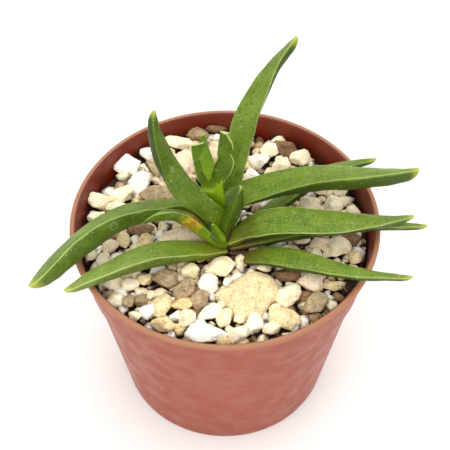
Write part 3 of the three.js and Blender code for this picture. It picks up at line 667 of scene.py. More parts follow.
def stone_face(kind):
    """Tumbled stone, dry and matt: mottled in patches, freckled with dark grains, finely pitted, stained
    where water stood, and darkened at its foot by brown soil dust and painted shade. Each stone has its own
    tone."""
    name, light, dark, stain, pits, roughness = STONE_FINISHES[kind]
    material, tree, shader, place = new_material(name, roughness, 1.5)
    tone = marked(tree, "tone")
    # mottling in patches of 2.4 mm
    mottle = speckle(tree, place, 2.4, 6.0, Roughness=0.65)
    mottled = step(tree, mottle, 0.3, 0.7, -0.45, 0.45)
    share = add(tree, "Math", {0: mottled, 1: tone}, operation="ADD", use_clamp=True).outputs[0]
    colour = blend(tree, share, linear(light), linear(dark))
    stains = speckle(tree, place, 4.5, 6.0, Roughness=0.7)
    stained = step(tree, stains, 0.52, 0.7, 0.0, 0.6)
    colour = blend(tree, stained, colour, linear(stain))
    # sandy grain of 0.45 mm, drawn coarser than the real one
    sand = speckle(tree, place, 0.45, 2.0)
    colour = blend(tree, step(tree, sand, 0.35, 0.5, 0.1 + pits * 0.35, 0.0), colour, linear(stain))
    # dark grains of 0.25 mm, one every 0.9 mm; real ones are finer
    grains = add(tree, "TexVoronoi", {"Vector": place, "Scale": grain(0.9)})
    keep = add(tree, "SeparateColor", {"Color": grains.outputs["Color"]}).outputs[1]
    size = step(tree, keep, 1 - pits, 1.0, 0.0, 0.26)
    dot = calc(tree, "LESS_THAN", grains.outputs["Distance"], size)
    dotted = calc(tree, "MULTIPLY", dot, 0.45)
    colour = blend(tree, dotted, colour, linear(stain))
    # soil dust and painted shade at the foot, up to 2 mm over the bed
    height = add(tree, "SeparateXYZ", {"Vector": place}).outputs["Z"]
    lifted = calc(tree, "ADD", step(tree, mottle, 0.3, 0.7, -1.2 * MM, 1.2 * MM), height)
    foot = step(tree, lifted, (GRAVEL_TOP + 0.1) * MM, (GRAVEL_TOP + 2.2) * MM, 0.85, 0.0)
    colour = blend(tree, foot, colour, linear("#4d3018"))
    fine = speckle(tree, place, 0.8, 6.0)
    pitted = bump(tree, calc(tree, "SUBTRACT", fine, dot), 0.6 + pits * 0.4, 0.35)
    feed(tree, shader, {"Base Color": colour, "Normal": pitted})
    return material


def dead_tissue(name, light, dark):
    """Dried sheath, bark and root: papery to corky, brown, streaked along the fibre."""
    material, tree, shader, place = new_material(name, 0.8, 1.45)
    lanes = add(tree, "Mapping", {"Vector": place, "Scale": (1, 1, 0.3)}).outputs["Vector"]
    streaks = speckle(tree, lanes, 0.8, 5.0)
    colour = blend(tree, step(tree, streaks, 0.35, 0.65), linear(dark), linear(light))
    feed(tree, shader, {"Base Color": colour, "Normal": bump(tree, streaks, 0.7, 0.3)})
    return material


# Settings shown in the sidebar


def colour_setting(name, description, value):
    return bpy.props.FloatVectorProperty(
        name=name, description=description, default=linear(value), size=4, subtype="COLOR", min=0, max=1
    )


class PotSettings(bpy.types.PropertyGroup):
    segments: bpy.props.IntProperty(name="Segments", description="Sides of the round wall", default=128)
    clay: colour_setting("Clay", "Main colour of the plastic", "#923e22")
    clay_light: colour_setting("Light clay", "Colour of the flow marks", "#964125")
    # the lip colour is a painted highlight on the top of the lip
    clay_lip_highlight: colour_setting("Lip", "Colour of the worn lip", "#9f6b4a")
    # the inside colour is painted shade on the inner wall, not the plastic's own colour
    clay_inside_shade: colour_setting("Inside", "Colour of the inner wall", "#6c1602")
    wall_soil: colour_setting("Wall soil", "Colour of soil on the inner wall", "#352013")


class LeafSettings(bpy.types.PropertyGroup):
    ripple: bpy.props.FloatProperty(
        name="Ripple", description="How far the skin wavers", default=0.14 * MM, unit="LENGTH"
    )
    fresh: colour_setting("Fresh green", "Lighter patches", "#5e780c")
    deep: colour_setting("Deep green", "Darker patches", "#466008")
    young: colour_setting("Young green", "Lighter patches of young leaves", "#769a04")
    young_deep: colour_setting("Deep young green", "Darker patches of young leaves", "#5c7e03")
    vein: colour_setting("Veins", "Lines along the leaf", "#7f9a26")
    bloom: colour_setting("Bloom", "Wax on the skin", "#84984a")
    # painted shade on the keeled side, the inner faces and shaded leaves; also the colour of the dark cells
    shade_and_cell_green: colour_setting("Underside", "Keeled side of the leaf", "#2a3c05")
    margin: colour_setting("Margin", "Hard edge of the leaf", "#c4cf88")
    base: colour_setting("Base", "Where the leaf was wrapped", "#7f9a0c")
    withered: colour_setting("Withered", "Old, dry base of the leaf", "#5e4420")
    tip: colour_setting("Tip", "Yellowed tip", "#b7b84e")
    fleck: colour_setting("Flecks", "Dried salts", "#dce6c8")
    sore: colour_setting("Sore patch", "Damaged skin", "#b0961a")
    scab: colour_setting("Scab", "Healed skin in the sore patch", "#8a5a2c")


class GravelSettings(bpy.types.PropertyGroup):
    grit: bpy.props.IntProperty(name="Grit", description="Smallest stones", default=500)
    crumbs: bpy.props.IntProperty(name="Crumbs", description="Crumbs of soil", default=500)


class StageSettings(bpy.types.PropertyGroup):
    floor: colour_setting("Floor", "Colour of the floor", "#f2f1ee")
    sky: bpy.props.FloatProperty(name="Sky", description="Strength of the pale sky", default=1.08)
    key: bpy.props.FloatProperty(
        name="Key light", description="Strength of the large light", default=2.6, subtype="POWER"
    )


# Leaves


class Route:
    """A smooth line through points in millimetres, walked by its length."""

    SAMPLES = 200

    def __init__(self, points):
        points = [Vector(point) for point in points]
        self.points = [2 * points[0] - points[1], *points, 2 * points[-1] - points[-2]]
        self.spans = len(points) - 1
        dots = [self.at(i / self.SAMPLES) for i in range(self.SAMPLES + 1)]
        self.lengths = [0.0]
        for start, end in zip(dots, dots[1:]):
            self.lengths.append(self.lengths[-1] + (end - start).length)

    def at(self, share):
        """Point on the curve, each span by its own share."""
        span = min(int(share * self.spans), self.spans - 1)
        t = share * self.spans - span
        a, b, c, d = self.points[span : span + 4]
        before, middle, after = (b - a).length, (c - b).length, (d - c).length
        leave = ((b - a) / before - (c - a) / (before + middle) + (c - b) / middle) * middle
        arrive = ((c - b) / middle - (d - b) / (middle + after) + (d - c) / after) * middle
        bend = 3 * (c - b) - 2 * leave - arrive
        close = 2 * (b - c) + leave + arrive
        return b + leave * t + bend * t**2 + close * t**3

    def walk(self, share):
        """Point and direction at a share of the whole length."""
        goal = share * self.lengths[-1]
        index = next((i for i, length in enumerate(self.lengths) if length >= goal), self.SAMPLES)
        index = max(index, 1)
        before, after = self.lengths[index - 1], self.lengths[index]
        place = (index - 1 + (goal - before) / (after - before)) / self.SAMPLES
        nudge = 0.0005
        direction = self.at(min(1, place + nudge)) - self.at(max(0, place - nudge))
        return self.at(place), direction.normalized()


LEAF_RING = 36
LEAF_STEPS = 64
TIP_CROWDING = 1.25
UNDER_POWER = 1.85


def leaf_blank(sides=LEAF_RING, steps=LEAF_STEPS):
    """A straight round rod one metre long, closed at both ends, which every leaf is bent from."""
    select_only()
    bpy.ops.mesh.primitive_circle_add(vertices=sides, radius=1, fill_type="NGON")
    edit_mode()
    for _ in range(steps):
        bpy.ops.mesh.extrude_region_move(TRANSFORM_OT_translate={"value": (0, 0, 1 / steps)})
    bpy.ops.mesh.select_all(action="SELECT")
    bpy.ops.mesh.normals_make_consistent(inside=False)
    object_mode()
    blank = bpy.context.object
    blank.name = "leaf_blank"
    return blank


def leaf_section(angle, half, keel, crowning):
    """Across and up, in millimetres, at an angle round a leaf's section: a crowned face over a keel."""
    across = math.cos(angle)
    if math.sin(angle) > -1e-6:
        return across * half, crowning * (1 - abs(across) ** 3)
    return across * half, -keel * (1 - abs(across) ** UNDER_POWER) ** (1 / UNDER_POWER)


def bend_leaf(blank, name, leaf, ripple, spare=0.0):
    """Bends a copy of the blank along a leaf's spine, and marks where each point lies on the leaf."""
    piece = copy_of(blank, name)
    route = Route(leaf["spine"])
    length = route.lengths[-1]
    salt = 7.3 * sum(leaf["spine"][-1])
    marks = {"along": [], "across": [], "rim": []}
    stations = {}
    for vertex in piece.data.vertices:
        station = round(vertex.co.z, 4)
        if station not in stations:
            share = 1 - (1 - min(1, station)) ** TIP_CROWDING
            centre, direction = route.walk(share)
            up = Vector((0, 0, 1))
            up = (up - up.dot(direction) * direction).normalized()
            up.rotate(Matrix.Rotation(math.radians(along(leaf["rolls"], share)), 3, direction))
            past = 0 if leaf.get("cut") else max(0, (share - 1 + TIP_SHARE) / TIP_SHARE)
            rounding = max(0.05, math.sqrt(1 - min(1, past) ** 2))
            stations[station] = share, centre, up, direction.cross(up), rounding
        share, centre, up, side, rounding = stations[station]
        angle = math.atan2(vertex.co.y, vertex.co.x)
        wave = noise.noise(Vector((share * length / 6, math.cos(angle) * 1.2, salt)))
        dent = noise.noise(Vector((share * length / 4, math.cos(angle) * 2, salt + 5 + math.sin(angle))))
        half = (along(leaf["widths"], share) / 2 + wave * ripple * 1.4) * rounding - spare
        if math.cos(angle) > 0:
            for bite, reach, depth in leaf.get("bites", ()):
                half -= depth * math.cos(angle) * max(0, 1 - abs(share - bite) / reach)
        keel = (along(leaf["keels"], share) + wave * ripple * 1.4) * rounding - spare
        x, y = leaf_section(angle, half, keel, leaf.get("crowning", CROWNING))
        y += dent * ripple * rounding
        if "seam" in leaf and y < 0:
            centre_line, seam_width, seam_depth = leaf["seam"]
            y += seam_depth * max(0, 1 - abs(math.cos(angle) - centre_line) / seam_width)
        vertex.co = (centre + side * x + up * y) * MM
        across = math.cos(angle)
        reach = math.hypot(half * (1 - abs(across)), y)
        marks["along"].append(share)
        marks["across"].append(across)
        marks["rim"].append(reach if math.sin(angle) > -1e-6 else -reach)
    for mark, values in marks.items():
        set_attribute(piece, mark, values)
    return piece


def mark_all(piece, **values):
    """Gives every point of a piece the same mark."""
    for mark, value in values.items():
        set_attribute(piece, mark, [value] * len(piece.data.vertices))


def mark_margin(piece, strengths):
    """Marks how pale the margin is along a leaf."""
    set_attribute(piece, "pale", [along(strengths, share) for share in read_mark(piece, "along")])


SORE_PATCH = (-8.8, -4.4, 69)
SORE_REACH = 5
# How dark the painted shade on the keel side of a leaf is, where it isn't as usual
FLANK_SHADES = {
    "leaf_middle_left": 0.1,
    "leaf_low_left": 0.3,
    "leaf_short": 0.4,
    "leaf_high_right": 0.75,
    "leaf_long_left": 0.4,
    "leaf_bud_front": 0.3,
}
# How far up the leaf its pale base reaches, where it isn't as usual
WRAPPED = {
    "leaf_high_right": 0.35,
    "leaf_middle_right": 0.35,
    "leaf_low_right": 0.3,
    "leaf_under_right": 0.4,
    "leaf_back_right": 0.4,
    "leaf_tall_upright": 0.5,
    "leaf_short": 0.6,
}
# How much more wax a leaf has at its tip than at its base
WAX = {
    "leaf_low_left": 0.8,
    "leaf_tall_upright": 0.25,
    "leaf_high_right": 0.35,
    "leaf_low_right": 0.25,
    "leaf_middle_right": 0.25,
    "leaf_long_left": 0.15,
    "leaf_upright_left": -0.45,
    "leaf_short": -0.6,
}
# How much painted shade deepens the green of some leaves
SHADED_LEAVES = {"leaf_upright_left": 0.55, "leaf_short": 0.85, "leaf_tall_upright": 0.1}
# How withered the base of an old leaf is
DRY_LEAVES = {
    "leaf_low_left": 0.55,
    "leaf_low_right": 0.9,
    "leaf_under_right": 0.9,
    "leaf_back_right": 0.7,
    "leaf_middle_right": 0.4,
    "leaf_long_left": 0.4,
}
YOUNG_LEAVES = ("leaf_bud_front",)
USUAL_MARGIN = (0.2, 0.3, 0.4)
USUAL_FLANK_SHADE = 0.8
BUD_HOLLOW = -0.1  # the front bud is in its own shade up to this place across it


class PLANT_OT_leaves(bpy.types.Operator):
    """Bend each grown leaf along its spine"""

    bl_idname = "plant.leaves"
    bl_label = "Leaves"

    def execute(self, context):
        settings = context.scene.plant_leaves
        grown = leaf_skin("grown_leaf_skin", settings, settings.fresh, settings.deep, 0.4, ringed=0.15)
        young = leaf_skin("young_leaf_skin", settings, settings.young, settings.young_deep, 0.38, 0.5)
        blank = leaf_blank()
        for name, leaf in LEAVES.items():
            piece = bend_leaf(blank, name + "_skin", leaf, settings.ripple / MM)
            mark_margin(piece, PALE_MARGINS.get(name, USUAL_MARGIN))
            mark_all(piece, dry=DRY_LEAVES.get(name, 0), inner=SHADED_LEAVES.get(name, 0))
            mark_all(piece, flank=FLANK_SHADES.get(name, USUAL_FLANK_SHADE), wrapped=WRAPPED.get(name, 1))
            if name == "leaf_bud_front":
                hollow = [0.9 if across < BUD_HOLLOW else 0.0 for across in read_mark(piece, "across")]
                set_attribute(piece, "inner", hollow)
            waxed = [share * WAX.get(name, 0) for share in read_mark(piece, "along")]
            set_attribute(piece, "waxy", waxed)
            mark_all(piece, spot=0)
            if name == "leaf_middle_left":
                centre = Vector(SORE_PATCH) * MM
                off = [(vertex.co - centre).length / (SORE_REACH * MM) for vertex in piece.data.vertices]
                set_attribute(piece, "spot", [max(0, 1 - share) for share in off])
            finish(piece, young if name in YOUNG_LEAVES else grown, "leaf", name, angle=50)
        remove(blank)
        return {"FINISHED"}


YOUNG_VOXEL = 0.2
YOUNG_RIPPLE = 0.08
# Where on a whole leaf each part of the young pair lies: the arms, then the sheath
YOUNG_SHARES = ((0.06, 0.9), (0.16, 0.9), (0.14, 0.24))
# The sheath's front rim dips in a V: its lowest point, its rise to the left and to the right, its front
# and how far the wall lies back over the rim
NOTCH_X = -3.5
NOTCH_LOW = 78.2
NOTCH_RISE = (0.2, 1.6)
NOTCH_FRONT = -2.1
NOTCH_DEPTH = 2.2
ARM_LENGTH = 18
CUT_LEAN = 1.2  # how steeply the cut at an arm's top falls to the back


def notch(sheath):
    """Dips the sheath's front rim in a V, over which the faces of the arms show."""
    for vertex in sheath.data.vertices:
        x, y, z = vertex.co / MM
        over = z - NOTCH_LOW - NOTCH_RISE[x > NOTCH_X] * abs(x - NOTCH_X)
        wall = NOTCH_FRONT + NOTCH_DEPTH * min(1, max(0, over / 0.6))
        vertex.co.y = max(y, wall) * MM


def lean_cut(arm):
    """Slopes the cut at an arm's top down to the back, so that its front edge is a thin line."""
    points = list(zip(arm.data.vertices, read_mark(arm, "along"), read_mark(arm, "across")))
    left, right = (
        min(vertex.co.y for vertex, share, across in points if share > 0.99 and across * side > 0.95)
        for side in (-1, 1)
    )
    for vertex, share, across in points:
        behind = vertex.co.y - mix(left, right, (across + 1) / 2)
        vertex.co.z -= CUT_LEAN * max(0, behind) * max(0, share - 0.85) / 0.15


def keep_marks(piece, sources, marks):
    """Gives a remeshed piece the marks of the nearest points it was made from."""
    dots = [(vertex.co, source, vertex.index) for source in sources for vertex in source.data.vertices]
    tree = kdtree.KDTree(len(dots))
    for index, (place, _, _) in enumerate(dots):
        tree.insert(place, index)
    tree.balance()
    nearest = [dots[tree.find(vertex.co)[1]] for vertex in piece.data.vertices]
    for mark in marks:
        values = [source.data.attributes[mark].data[index].value for _, source, index in nearest]
        set_attribute(piece, mark, values)


class PLANT_OT_young_leaves(bpy.types.Operator):
    """Grow the young pair together at its sheath, with its bud leaf inside"""

    bl_idname = "plant.young_leaves"
    bl_label = "Young leaves"

    def execute(self, context):
        settings = context.scene.plant_leaves
        skin = leaf_skin("young_pair_skin", settings, settings.young, settings.young_deep, 0.4, 0.4)
        blank = leaf_blank()
        parts = [*YOUNG_ARMS, YOUNG_SHEATH]
        sources = [bend_leaf(blank, f"young_source_{i}", part, YOUNG_RIPPLE) for i, part in enumerate(parts)]
        for source, (low, high), part in zip(sources, YOUNG_SHARES, parts):
            mark_all(source, dry=0, spot=0, flank=0.4, waxy=0, wrapped=1)
            mark_margin(source, (0.3, 0.7, 1))
            rims, shares = read_mark(source, "rim"), read_mark(source, "along")
            if part is YOUNG_SHEATH:
                notch(source)
                # painted shade: the cut top of the sheath is painted as dark as the shaded inner faces
                inner = [1.0 if share > 0.95 else 0.0 for share in shares]
                rims = [1.0] * len(rims)
            else:
                lean_cut(source)
                # painted shade on the faces of the arms, which turn into the pair's hollow
                inner = [min(1, 4 * share) if rim > -0.15 else 0.0 for rim, share in zip(rims, shares)]
                rims = [min(abs(rim), (1 - share) * ARM_LENGTH) for rim, share in zip(rims, shares)]
            set_attribute(source, "rim", rims)
            set_attribute(source, "inner", inner)
            set_attribute(source, "along", [mix(low, high, share) for share in shares])
        pair = join([copy_of(source, "young_pair_skin") for source in sources], "young_pair_skin")
        shape_with(pair, "REMESH", mode="VOXEL", voxel_size=YOUNG_VOXEL * MM)
        shape_with(pair, "SMOOTH", factor=0.5, iterations=3)
        keep_marks(pair, sources, LEAF_MARKS)
        remove(*sources)
        finish(pair, skin, "young_leaf", "young_pair")
        bud = bend_leaf(blank, "young_bud_skin", YOUNG_BUD, YOUNG_RIPPLE)
        mark_all(bud, dry=0, spot=0, flank=0.6, waxy=0, wrapped=1)
        # painted shade on the bud, deeper towards its tip
        set_attribute(bud, "inner", [0.3 + 0.5 * share for share in read_mark(bud, "along")])
        mark_margin(bud, (0, 0.2, 0.3))
        finish(bud, skin, "young_leaf", "young_bud", angle=50)
        remove(blank)
        return {"FINISHED"}


# Pot


def pot_outline():
    """Radius and height round the pot's section, from the middle of its underside to that of its floor."""
    floor = BASE_RECESS + FLOOR
    outer = [(BASE_RADIUS - 0.5, 0), (inner_wall(0.35) + WALL - 0.12, 0.15)]
    outer += [(inner_wall(h) + WALL, h) for h in (0.7, 12, 24, 36, SHELF_HEIGHT - 0.9, SHELF_HEIGHT - 0.5)]
    outer += [(inner_wall(SHELF_HEIGHT + 0.1) + WALL - 0.1, SHELF_HEIGHT - 0.2)]
    upper = (SHELF_HEIGHT + 0.1, SHELF_HEIGHT + 0.5, 56, POT_HEIGHT - 2.2)
    outer += [(inner_wall(h) + WALL, h) for h in upper]
    outer += [(RIM_RADIUS - 0.2, POT_HEIGHT - 1.7)]
    middle = RIM_RADIUS - LIP / 2
    lip = []
    for i in range(9):
        turn = math.pi * i / 8
        lip.append((middle + LIP / 2 * math.cos(turn), POT_HEIGHT - 0.9 + 0.9 * math.sin(turn)))
    inner = [(inner_wall(h), h) for h in (POT_HEIGHT - 2.2, 60, 55, SHELF_HEIGHT + 0.6)]
    inner += [(inner_wall(h), h) for h in (SHELF_HEIGHT - 0.2, 36, 20, floor + 0.5)]
    base = [(0, 0), (14, 0), (14.6, 0.3), (15.2, BASE_RECESS), (25.6, BASE_RECESS), (26.2, 0.3), (26.8, 0)]
    return [*base, *outer, *lip, *inner, (inner_wall(floor) - 0.5, floor), (0, floor)]


class PLANT_OT_pot(bpy.types.Operator):
    """Spin the pot's section and drill its drain holes"""

    bl_idname = "plant.pot"
    bl_label = "Pot"

    def execute(self, context):
        settings = context.scene.plant_pot
        pot = lathe("pot_shell", pot_outline(), settings.segments)
        floor = BASE_RECESS + FLOOR
        drills = []
        for i in range(DRAIN_HOLES):
            angle = math.tau * i / DRAIN_HOLES
            place = Vector((math.cos(angle), math.sin(angle), floor / 2 / DRAIN_CIRCLE)) * DRAIN_CIRCLE * MM
            select_only()
            size = {"vertices": 40, "radius": DRAIN_RADIUS * MM, "depth": 3 * floor * MM}
            bpy.ops.mesh.primitive_cylinder_add(location=place, **size)
            drills.append(bpy.context.object)
        drill = join(drills, "drill")
        shape_with(pot, "BOOLEAN", object=drill, operation="DIFFERENCE", solver="EXACT")
        remove(drill)
        inside = []
        for vertex in pot.data.vertices:
            reach = math.hypot(vertex.co.x, vertex.co.y) / MM
            height = vertex.co.z / MM
            wall = inner_wall(height) + WALL / 2
            inside.append(1.0 if reach < wall and height > floor - 0.1 else 0.0)
        set_attribute(pot, "inside", inside)
        finish(pot, pot_plastic(settings), "pot", "pot", angle=35)
        return {"FINISHED"}


# Stones


ROCK_KINDS = 9
ROCK_FACES = 760
SMALL_ROCK_KINDS = 5
SMALL_ROCK_FACES = 60
ROCK_CUTS = 12
ROCK_CUT_REACH = (0.6, 0.88)  # how far from the middle a break lies
ROCK_VOXEL = 0.06
STONE_SWELL = 1.07


def rock(name, seed, faces):
    """A tumbled stone two metres across, cut from a ball by flat breaks and then worn smooth."""
    draw = draws(seed)
    select_only()
    bpy.ops.mesh.primitive_ico_sphere_add(subdivisions=5, radius=1)
    edit_mode()
    for _ in range(ROCK_CUTS):
        normal = Vector((draw(-1, 1), draw(-1, 1), draw(-1, 1))).normalized()
        bpy.ops.mesh.select_all(action="SELECT")
        bpy.ops.mesh.bisect(
            plane_co=normal * draw(*ROCK_CUT_REACH), plane_no=normal, use_fill=True, clear_outer=True
        )
    object_mode()
    made = bpy.context.object
    made.name = name
    shape_with(made, "REMESH", mode="VOXEL", voxel_size=ROCK_VOXEL)
    shape_with(made, "SMOOTH", factor=0.6, iterations=2 + seed % 5)
    shift = Vector((seed, seed / 2, seed / 3))
    outward = [vertex.normal.copy() for vertex in made.data.vertices]
    for vertex in made.data.vertices:
        push = 0.09 * noise.noise(vertex.co * 1.7 + shift) + 0.04 * noise.noise(vertex.co * 5 + shift)
        push -= 0.05 * max(0, noise.noise(vertex.co * 9 + shift) - 0.25)
        vertex.co += outward[vertex.index] * push
    shape_with(made, "DECIMATE", ratio=min(1, faces / (2 * len(made.data.polygons))))
    low = [min(v.co[i] for v in made.data.vertices) for i in range(3)]
    high = [max(v.co[i] for v in made.data.vertices) for i in range(3)]
    for vertex in made.data.vertices:
        vertex.co = Vector([2 * (vertex.co[i] - low[i]) / (high[i] - low[i]) - 1 for i in range(3)])
    return made


WALL_CLEARANCE = 0.15
# Painted light: stones farther than this to the left or right, apart from the listed grey and brown ones,
# keep only this share of their dark tone, so that they look lit where the leaves shade them
PAINTED_LIGHT_SIDE = 12
PAINTED_LIGHT_SHARE = 0.2
STONE_TILT = 0.2  # radians
STONE_TONES = (0.1, 0.75)


def keep_inside(piece):
    """Presses what would pass through the pot's wall flat against it."""
    for vertex in piece.data.vertices:
        reach = math.hypot(vertex.co.x, vertex.co.y)
        limit = (inner_wall(vertex.co.z / MM) - WALL_CLEARANCE) * MM
        if reach > limit:
            vertex.co.x *= limit / reach
            vertex.co.y *= limit / reach


def turned(angle, axis):
    return Matrix.Rotation(angle, 4, axis)


def lay_stone(template, name, stone, middle, draw):
    """Copies a rock to a stone's place and size, upright or turned over, with a tone of its own."""
    x, y, length, width, height, turn = stone
    laid = copy_of(template, name)
    over = turned(math.pi * round(draw(0, 1)), "X") @ turned(math.pi * round(draw(0, 1)), "Z")
    size = Matrix.Diagonal((length / 2, width / 2, height / 2, 1)) * STONE_SWELL
    size[3][3] = 1
    tilt = turned(draw(-STONE_TILT, STONE_TILT), "X") @ turned(draw(-STONE_TILT, STONE_TILT), "Y")
    spin = turned(math.radians(turn), "Z")
    place = Matrix.Translation((x, y, middle))
    laid.data.transform(Matrix.Scale(MM, 4) @ place @ spin @ tilt @ size @ over)
    keep_inside(laid)
    tone = draw(*STONE_TONES)
    # painted light: stones at the sides are made paler against the leaves' shade
    if abs(x) > PAINTED_LIGHT_SIDE and not name.startswith(("grey", "brown")):
        tone *= PAINTED_LIGHT_SHARE
    mark_all(laid, tone=tone)
    return laid


def footprint(stone):
    """Place of a stone and how far it reaches, seen from above."""
    x, y, length, width = stone[:4]
    return x, y, (length + width) / 4


def listed_footprints():
    return [footprint(stone) for stones in (*STONES.values(), [LARGE_STONE]) for stone in stones]


def toss(draw, sizes, heights):
    """A stone of a random size, somewhere on the bed. Its height is a share of its length."""
    size = draw(*sizes)
    distance = (BED_RADIUS - size / 2) * math.sqrt(draw(0, 1))
    angle = draw(0, math.tau)
    x, y = distance * math.cos(angle), distance * math.sin(angle)
    return x, y, size, size * draw(*STONE_WIDTHS), size * draw(*heights), draw(0, 180)


def fill_layout():
    """Small stones where no listed stone lies, by the rule that the solids follow."""
    draw = draws(LAYOUT_SEED)
    placed = listed_footprints()
    fill = []
    for _ in range(FILL_TRIES):
        stone = toss(draw, FILL_SIZES, FILL_HEIGHTS)
        lift = draw(*FILL_LIFTS)
        x, y, reach = stone[0], stone[1], stone[2] / 2
        if len(fill) == FILL_STONES:
            break
        if any(math.hypot(px - x, py - y) <= (other + reach) * FILL_OVERLAP for px, py, other in placed):
            continue
        if any(math.hypot(px - x, py - y) <= patch + reach for px, py, patch in BARE):
            continue
        if math.hypot(x - CROWN[0], y - CROWN[1]) <= CROWN_CLEARANCE + reach:
            continue
        placed.append(footprint(stone))
        fill.append((stone, GRAVEL_TOP + lift))
    return fill


LOOSE_HEIGHTS = (0.6, 0.9)


def scatter(tries, seed, sizes, low, high, placed=(), nearness=0.0):
    """Places for small loose things all over the bed, no nearer to those placed than a share of their
    reaches, and added to them."""
    draw = draws(seed)
    found = []
    for _ in range(tries):
        stone = toss(draw, sizes, LOOSE_HEIGHTS)
        height = draw(low, high)
        x, y, reach = stone[0], stone[1], stone[2] / 2
        if any(math.hypot(px - x, py - y) < (other + reach) * nearness for px, py, other in placed):
            continue
        if placed:
            placed.append((x, y, reach))
        found.append((stone, height))
    return found


COMMON_KINDS = (
    "cream", "white", "cream", "cream", "tan", "white", "rose", "cream", "grey", "white", "cream", "brown",
)
# Rounds of ever smaller stones set into the gaps: tries, seed, sizes and height over the bed
SMALLER_STONES = (
    (1500, 23, (3.6, 4.6), 0.8),
    (2500, 29, (2.6, 3.6), 0.7),
    (2500, 37, (1.7, 2.6), 0.4),
)
SMALL_NEARNESS = 0.66
CROWN_RECESS = (3.6, -7.4, 4)  # one more patch, without any of the smaller stones
GRIT_KINDS = ("brown", "tan", "grey", "brown", "cream")
GRIT_SIZES = (0.7, 1.6)
GRIT_SEED = 31
CRUMB_SIZES = (0.8, 2.2)
CRUMB_SEED = 43
STONE_POSE_SEED = 97
CRUMB_POSE_SEED = 59
BED_RINGS = 48
BED_SIDES = 140


def is_bare(stone):
    """Whether a loose stone would lie on a patch that has none."""
    return any(math.hypot(x - stone[0], y - stone[1]) < patch for x, y, patch in (*BARE, CROWN_RECESS))


class PLANT_OT_gravel(bpy.types.Operator):
    """Lay the pebbles over a bed of dark mix"""

    bl_idname = "plant.gravel"
    bl_label = "Gravel"

    def execute(self, context):
        settings = context.scene.plant_gravel
        draw = draws(STONE_POSE_SEED)
        fine = [rock(f"rock_{i}", 11 + 6 * i, ROCK_FACES) for i in range(ROCK_KINDS)]
        coarse = [rock(f"small_rock_{i}", 71 + 5 * i, SMALL_ROCK_FACES) for i in range(SMALL_ROCK_KINDS)]
        heaps = {kind: [] for kind in STONES}
        for kind, stones in STONES.items():
            for i, stone in enumerate(stones):
                template = fine[(i * 3 + len(kind)) % len(fine)]
                heaps[kind].append(lay_stone(template, f"{kind}_{i}", stone, STONE_MIDDLE, draw))
        fill = fill_layout()
        for i, (stone, middle) in enumerate(fill):
            kind = COMMON_KINDS[i % len(COMMON_KINDS)]
            heaps[kind].append(lay_stone(fine[i % len(fine)], f"fill_{i}", stone, middle, draw))
        placed = listed_footprints() + [footprint(stone) for stone, _ in fill]
        loose = []
        for tries, seed, sizes, height in SMALLER_STONES:
            low, high = GRAVEL_TOP + height - 0.4, GRAVEL_TOP + height + 0.4
            loose += scatter(tries, seed, sizes, low, high, placed, SMALL_NEARNESS)
        grit = scatter(settings.grit, GRIT_SEED, GRIT_SIZES, GRAVEL_TOP + 0.1, GRAVEL_TOP + 0.7)
        for kinds, stones in ((COMMON_KINDS, loose), (GRIT_KINDS, grit)):
            for i, (stone, middle) in enumerate(stones):
                if is_bare(stone):
                    continue
                laid = lay_stone(coarse[i % len(coarse)], f"loose_{i}", stone, middle, draw)
                heaps[kinds[i % len(kinds)]].append(laid)
        for kind, heap in heaps.items():
            finish(join(heap, f"stones_{kind}"), stone_face(kind), "gravel", "gravel", angle=60)
        remove(*fine)
        self.bed(settings, coarse)
        remove(*coarse)
        return {"FINISHED"}

    def bed(self, settings, coarse):
        """The dark mix that shows between the stones, with loose crumbs on it."""
        reach = BED_RADIUS - 0.1
        top = [(reach * i / BED_RINGS, GRAVEL_TOP - 0.5) for i in range(BED_RINGS + 1)]
        low = SOIL_TOP + GAP
        bed = lathe("gravel_bed", [*top, (inner_wall(SOIL_TOP) - GAP - 0.1, low), (0, low)], BED_SIDES)
        for vertex in bed.data.vertices:
            if vertex.co.z > (GRAVEL_TOP - 1) * MM:
                spot = vertex.co / MM
                vertex.co.z += (0.5 * noise.noise(spot * 0.45) + 0.35 * noise.noise(spot * 1.4)) * MM
        draw = draws(CRUMB_POSE_SEED)
        crumbs = scatter(settings.crumbs, CRUMB_SEED, CRUMB_SIZES, GRAVEL_TOP - 0.4, GRAVEL_TOP + 0.3)
        crumbs = [
            lay_stone(coarse[i % len(coarse)], f"crumb_{i}", stone, middle, draw)
            for i, (stone, middle) in enumerate(crumbs)
        ]
        bed = join([bed, *crumbs], "gravel_bed")
        finish(bed, potting_mix(), "soil", "gravel", angle=60)


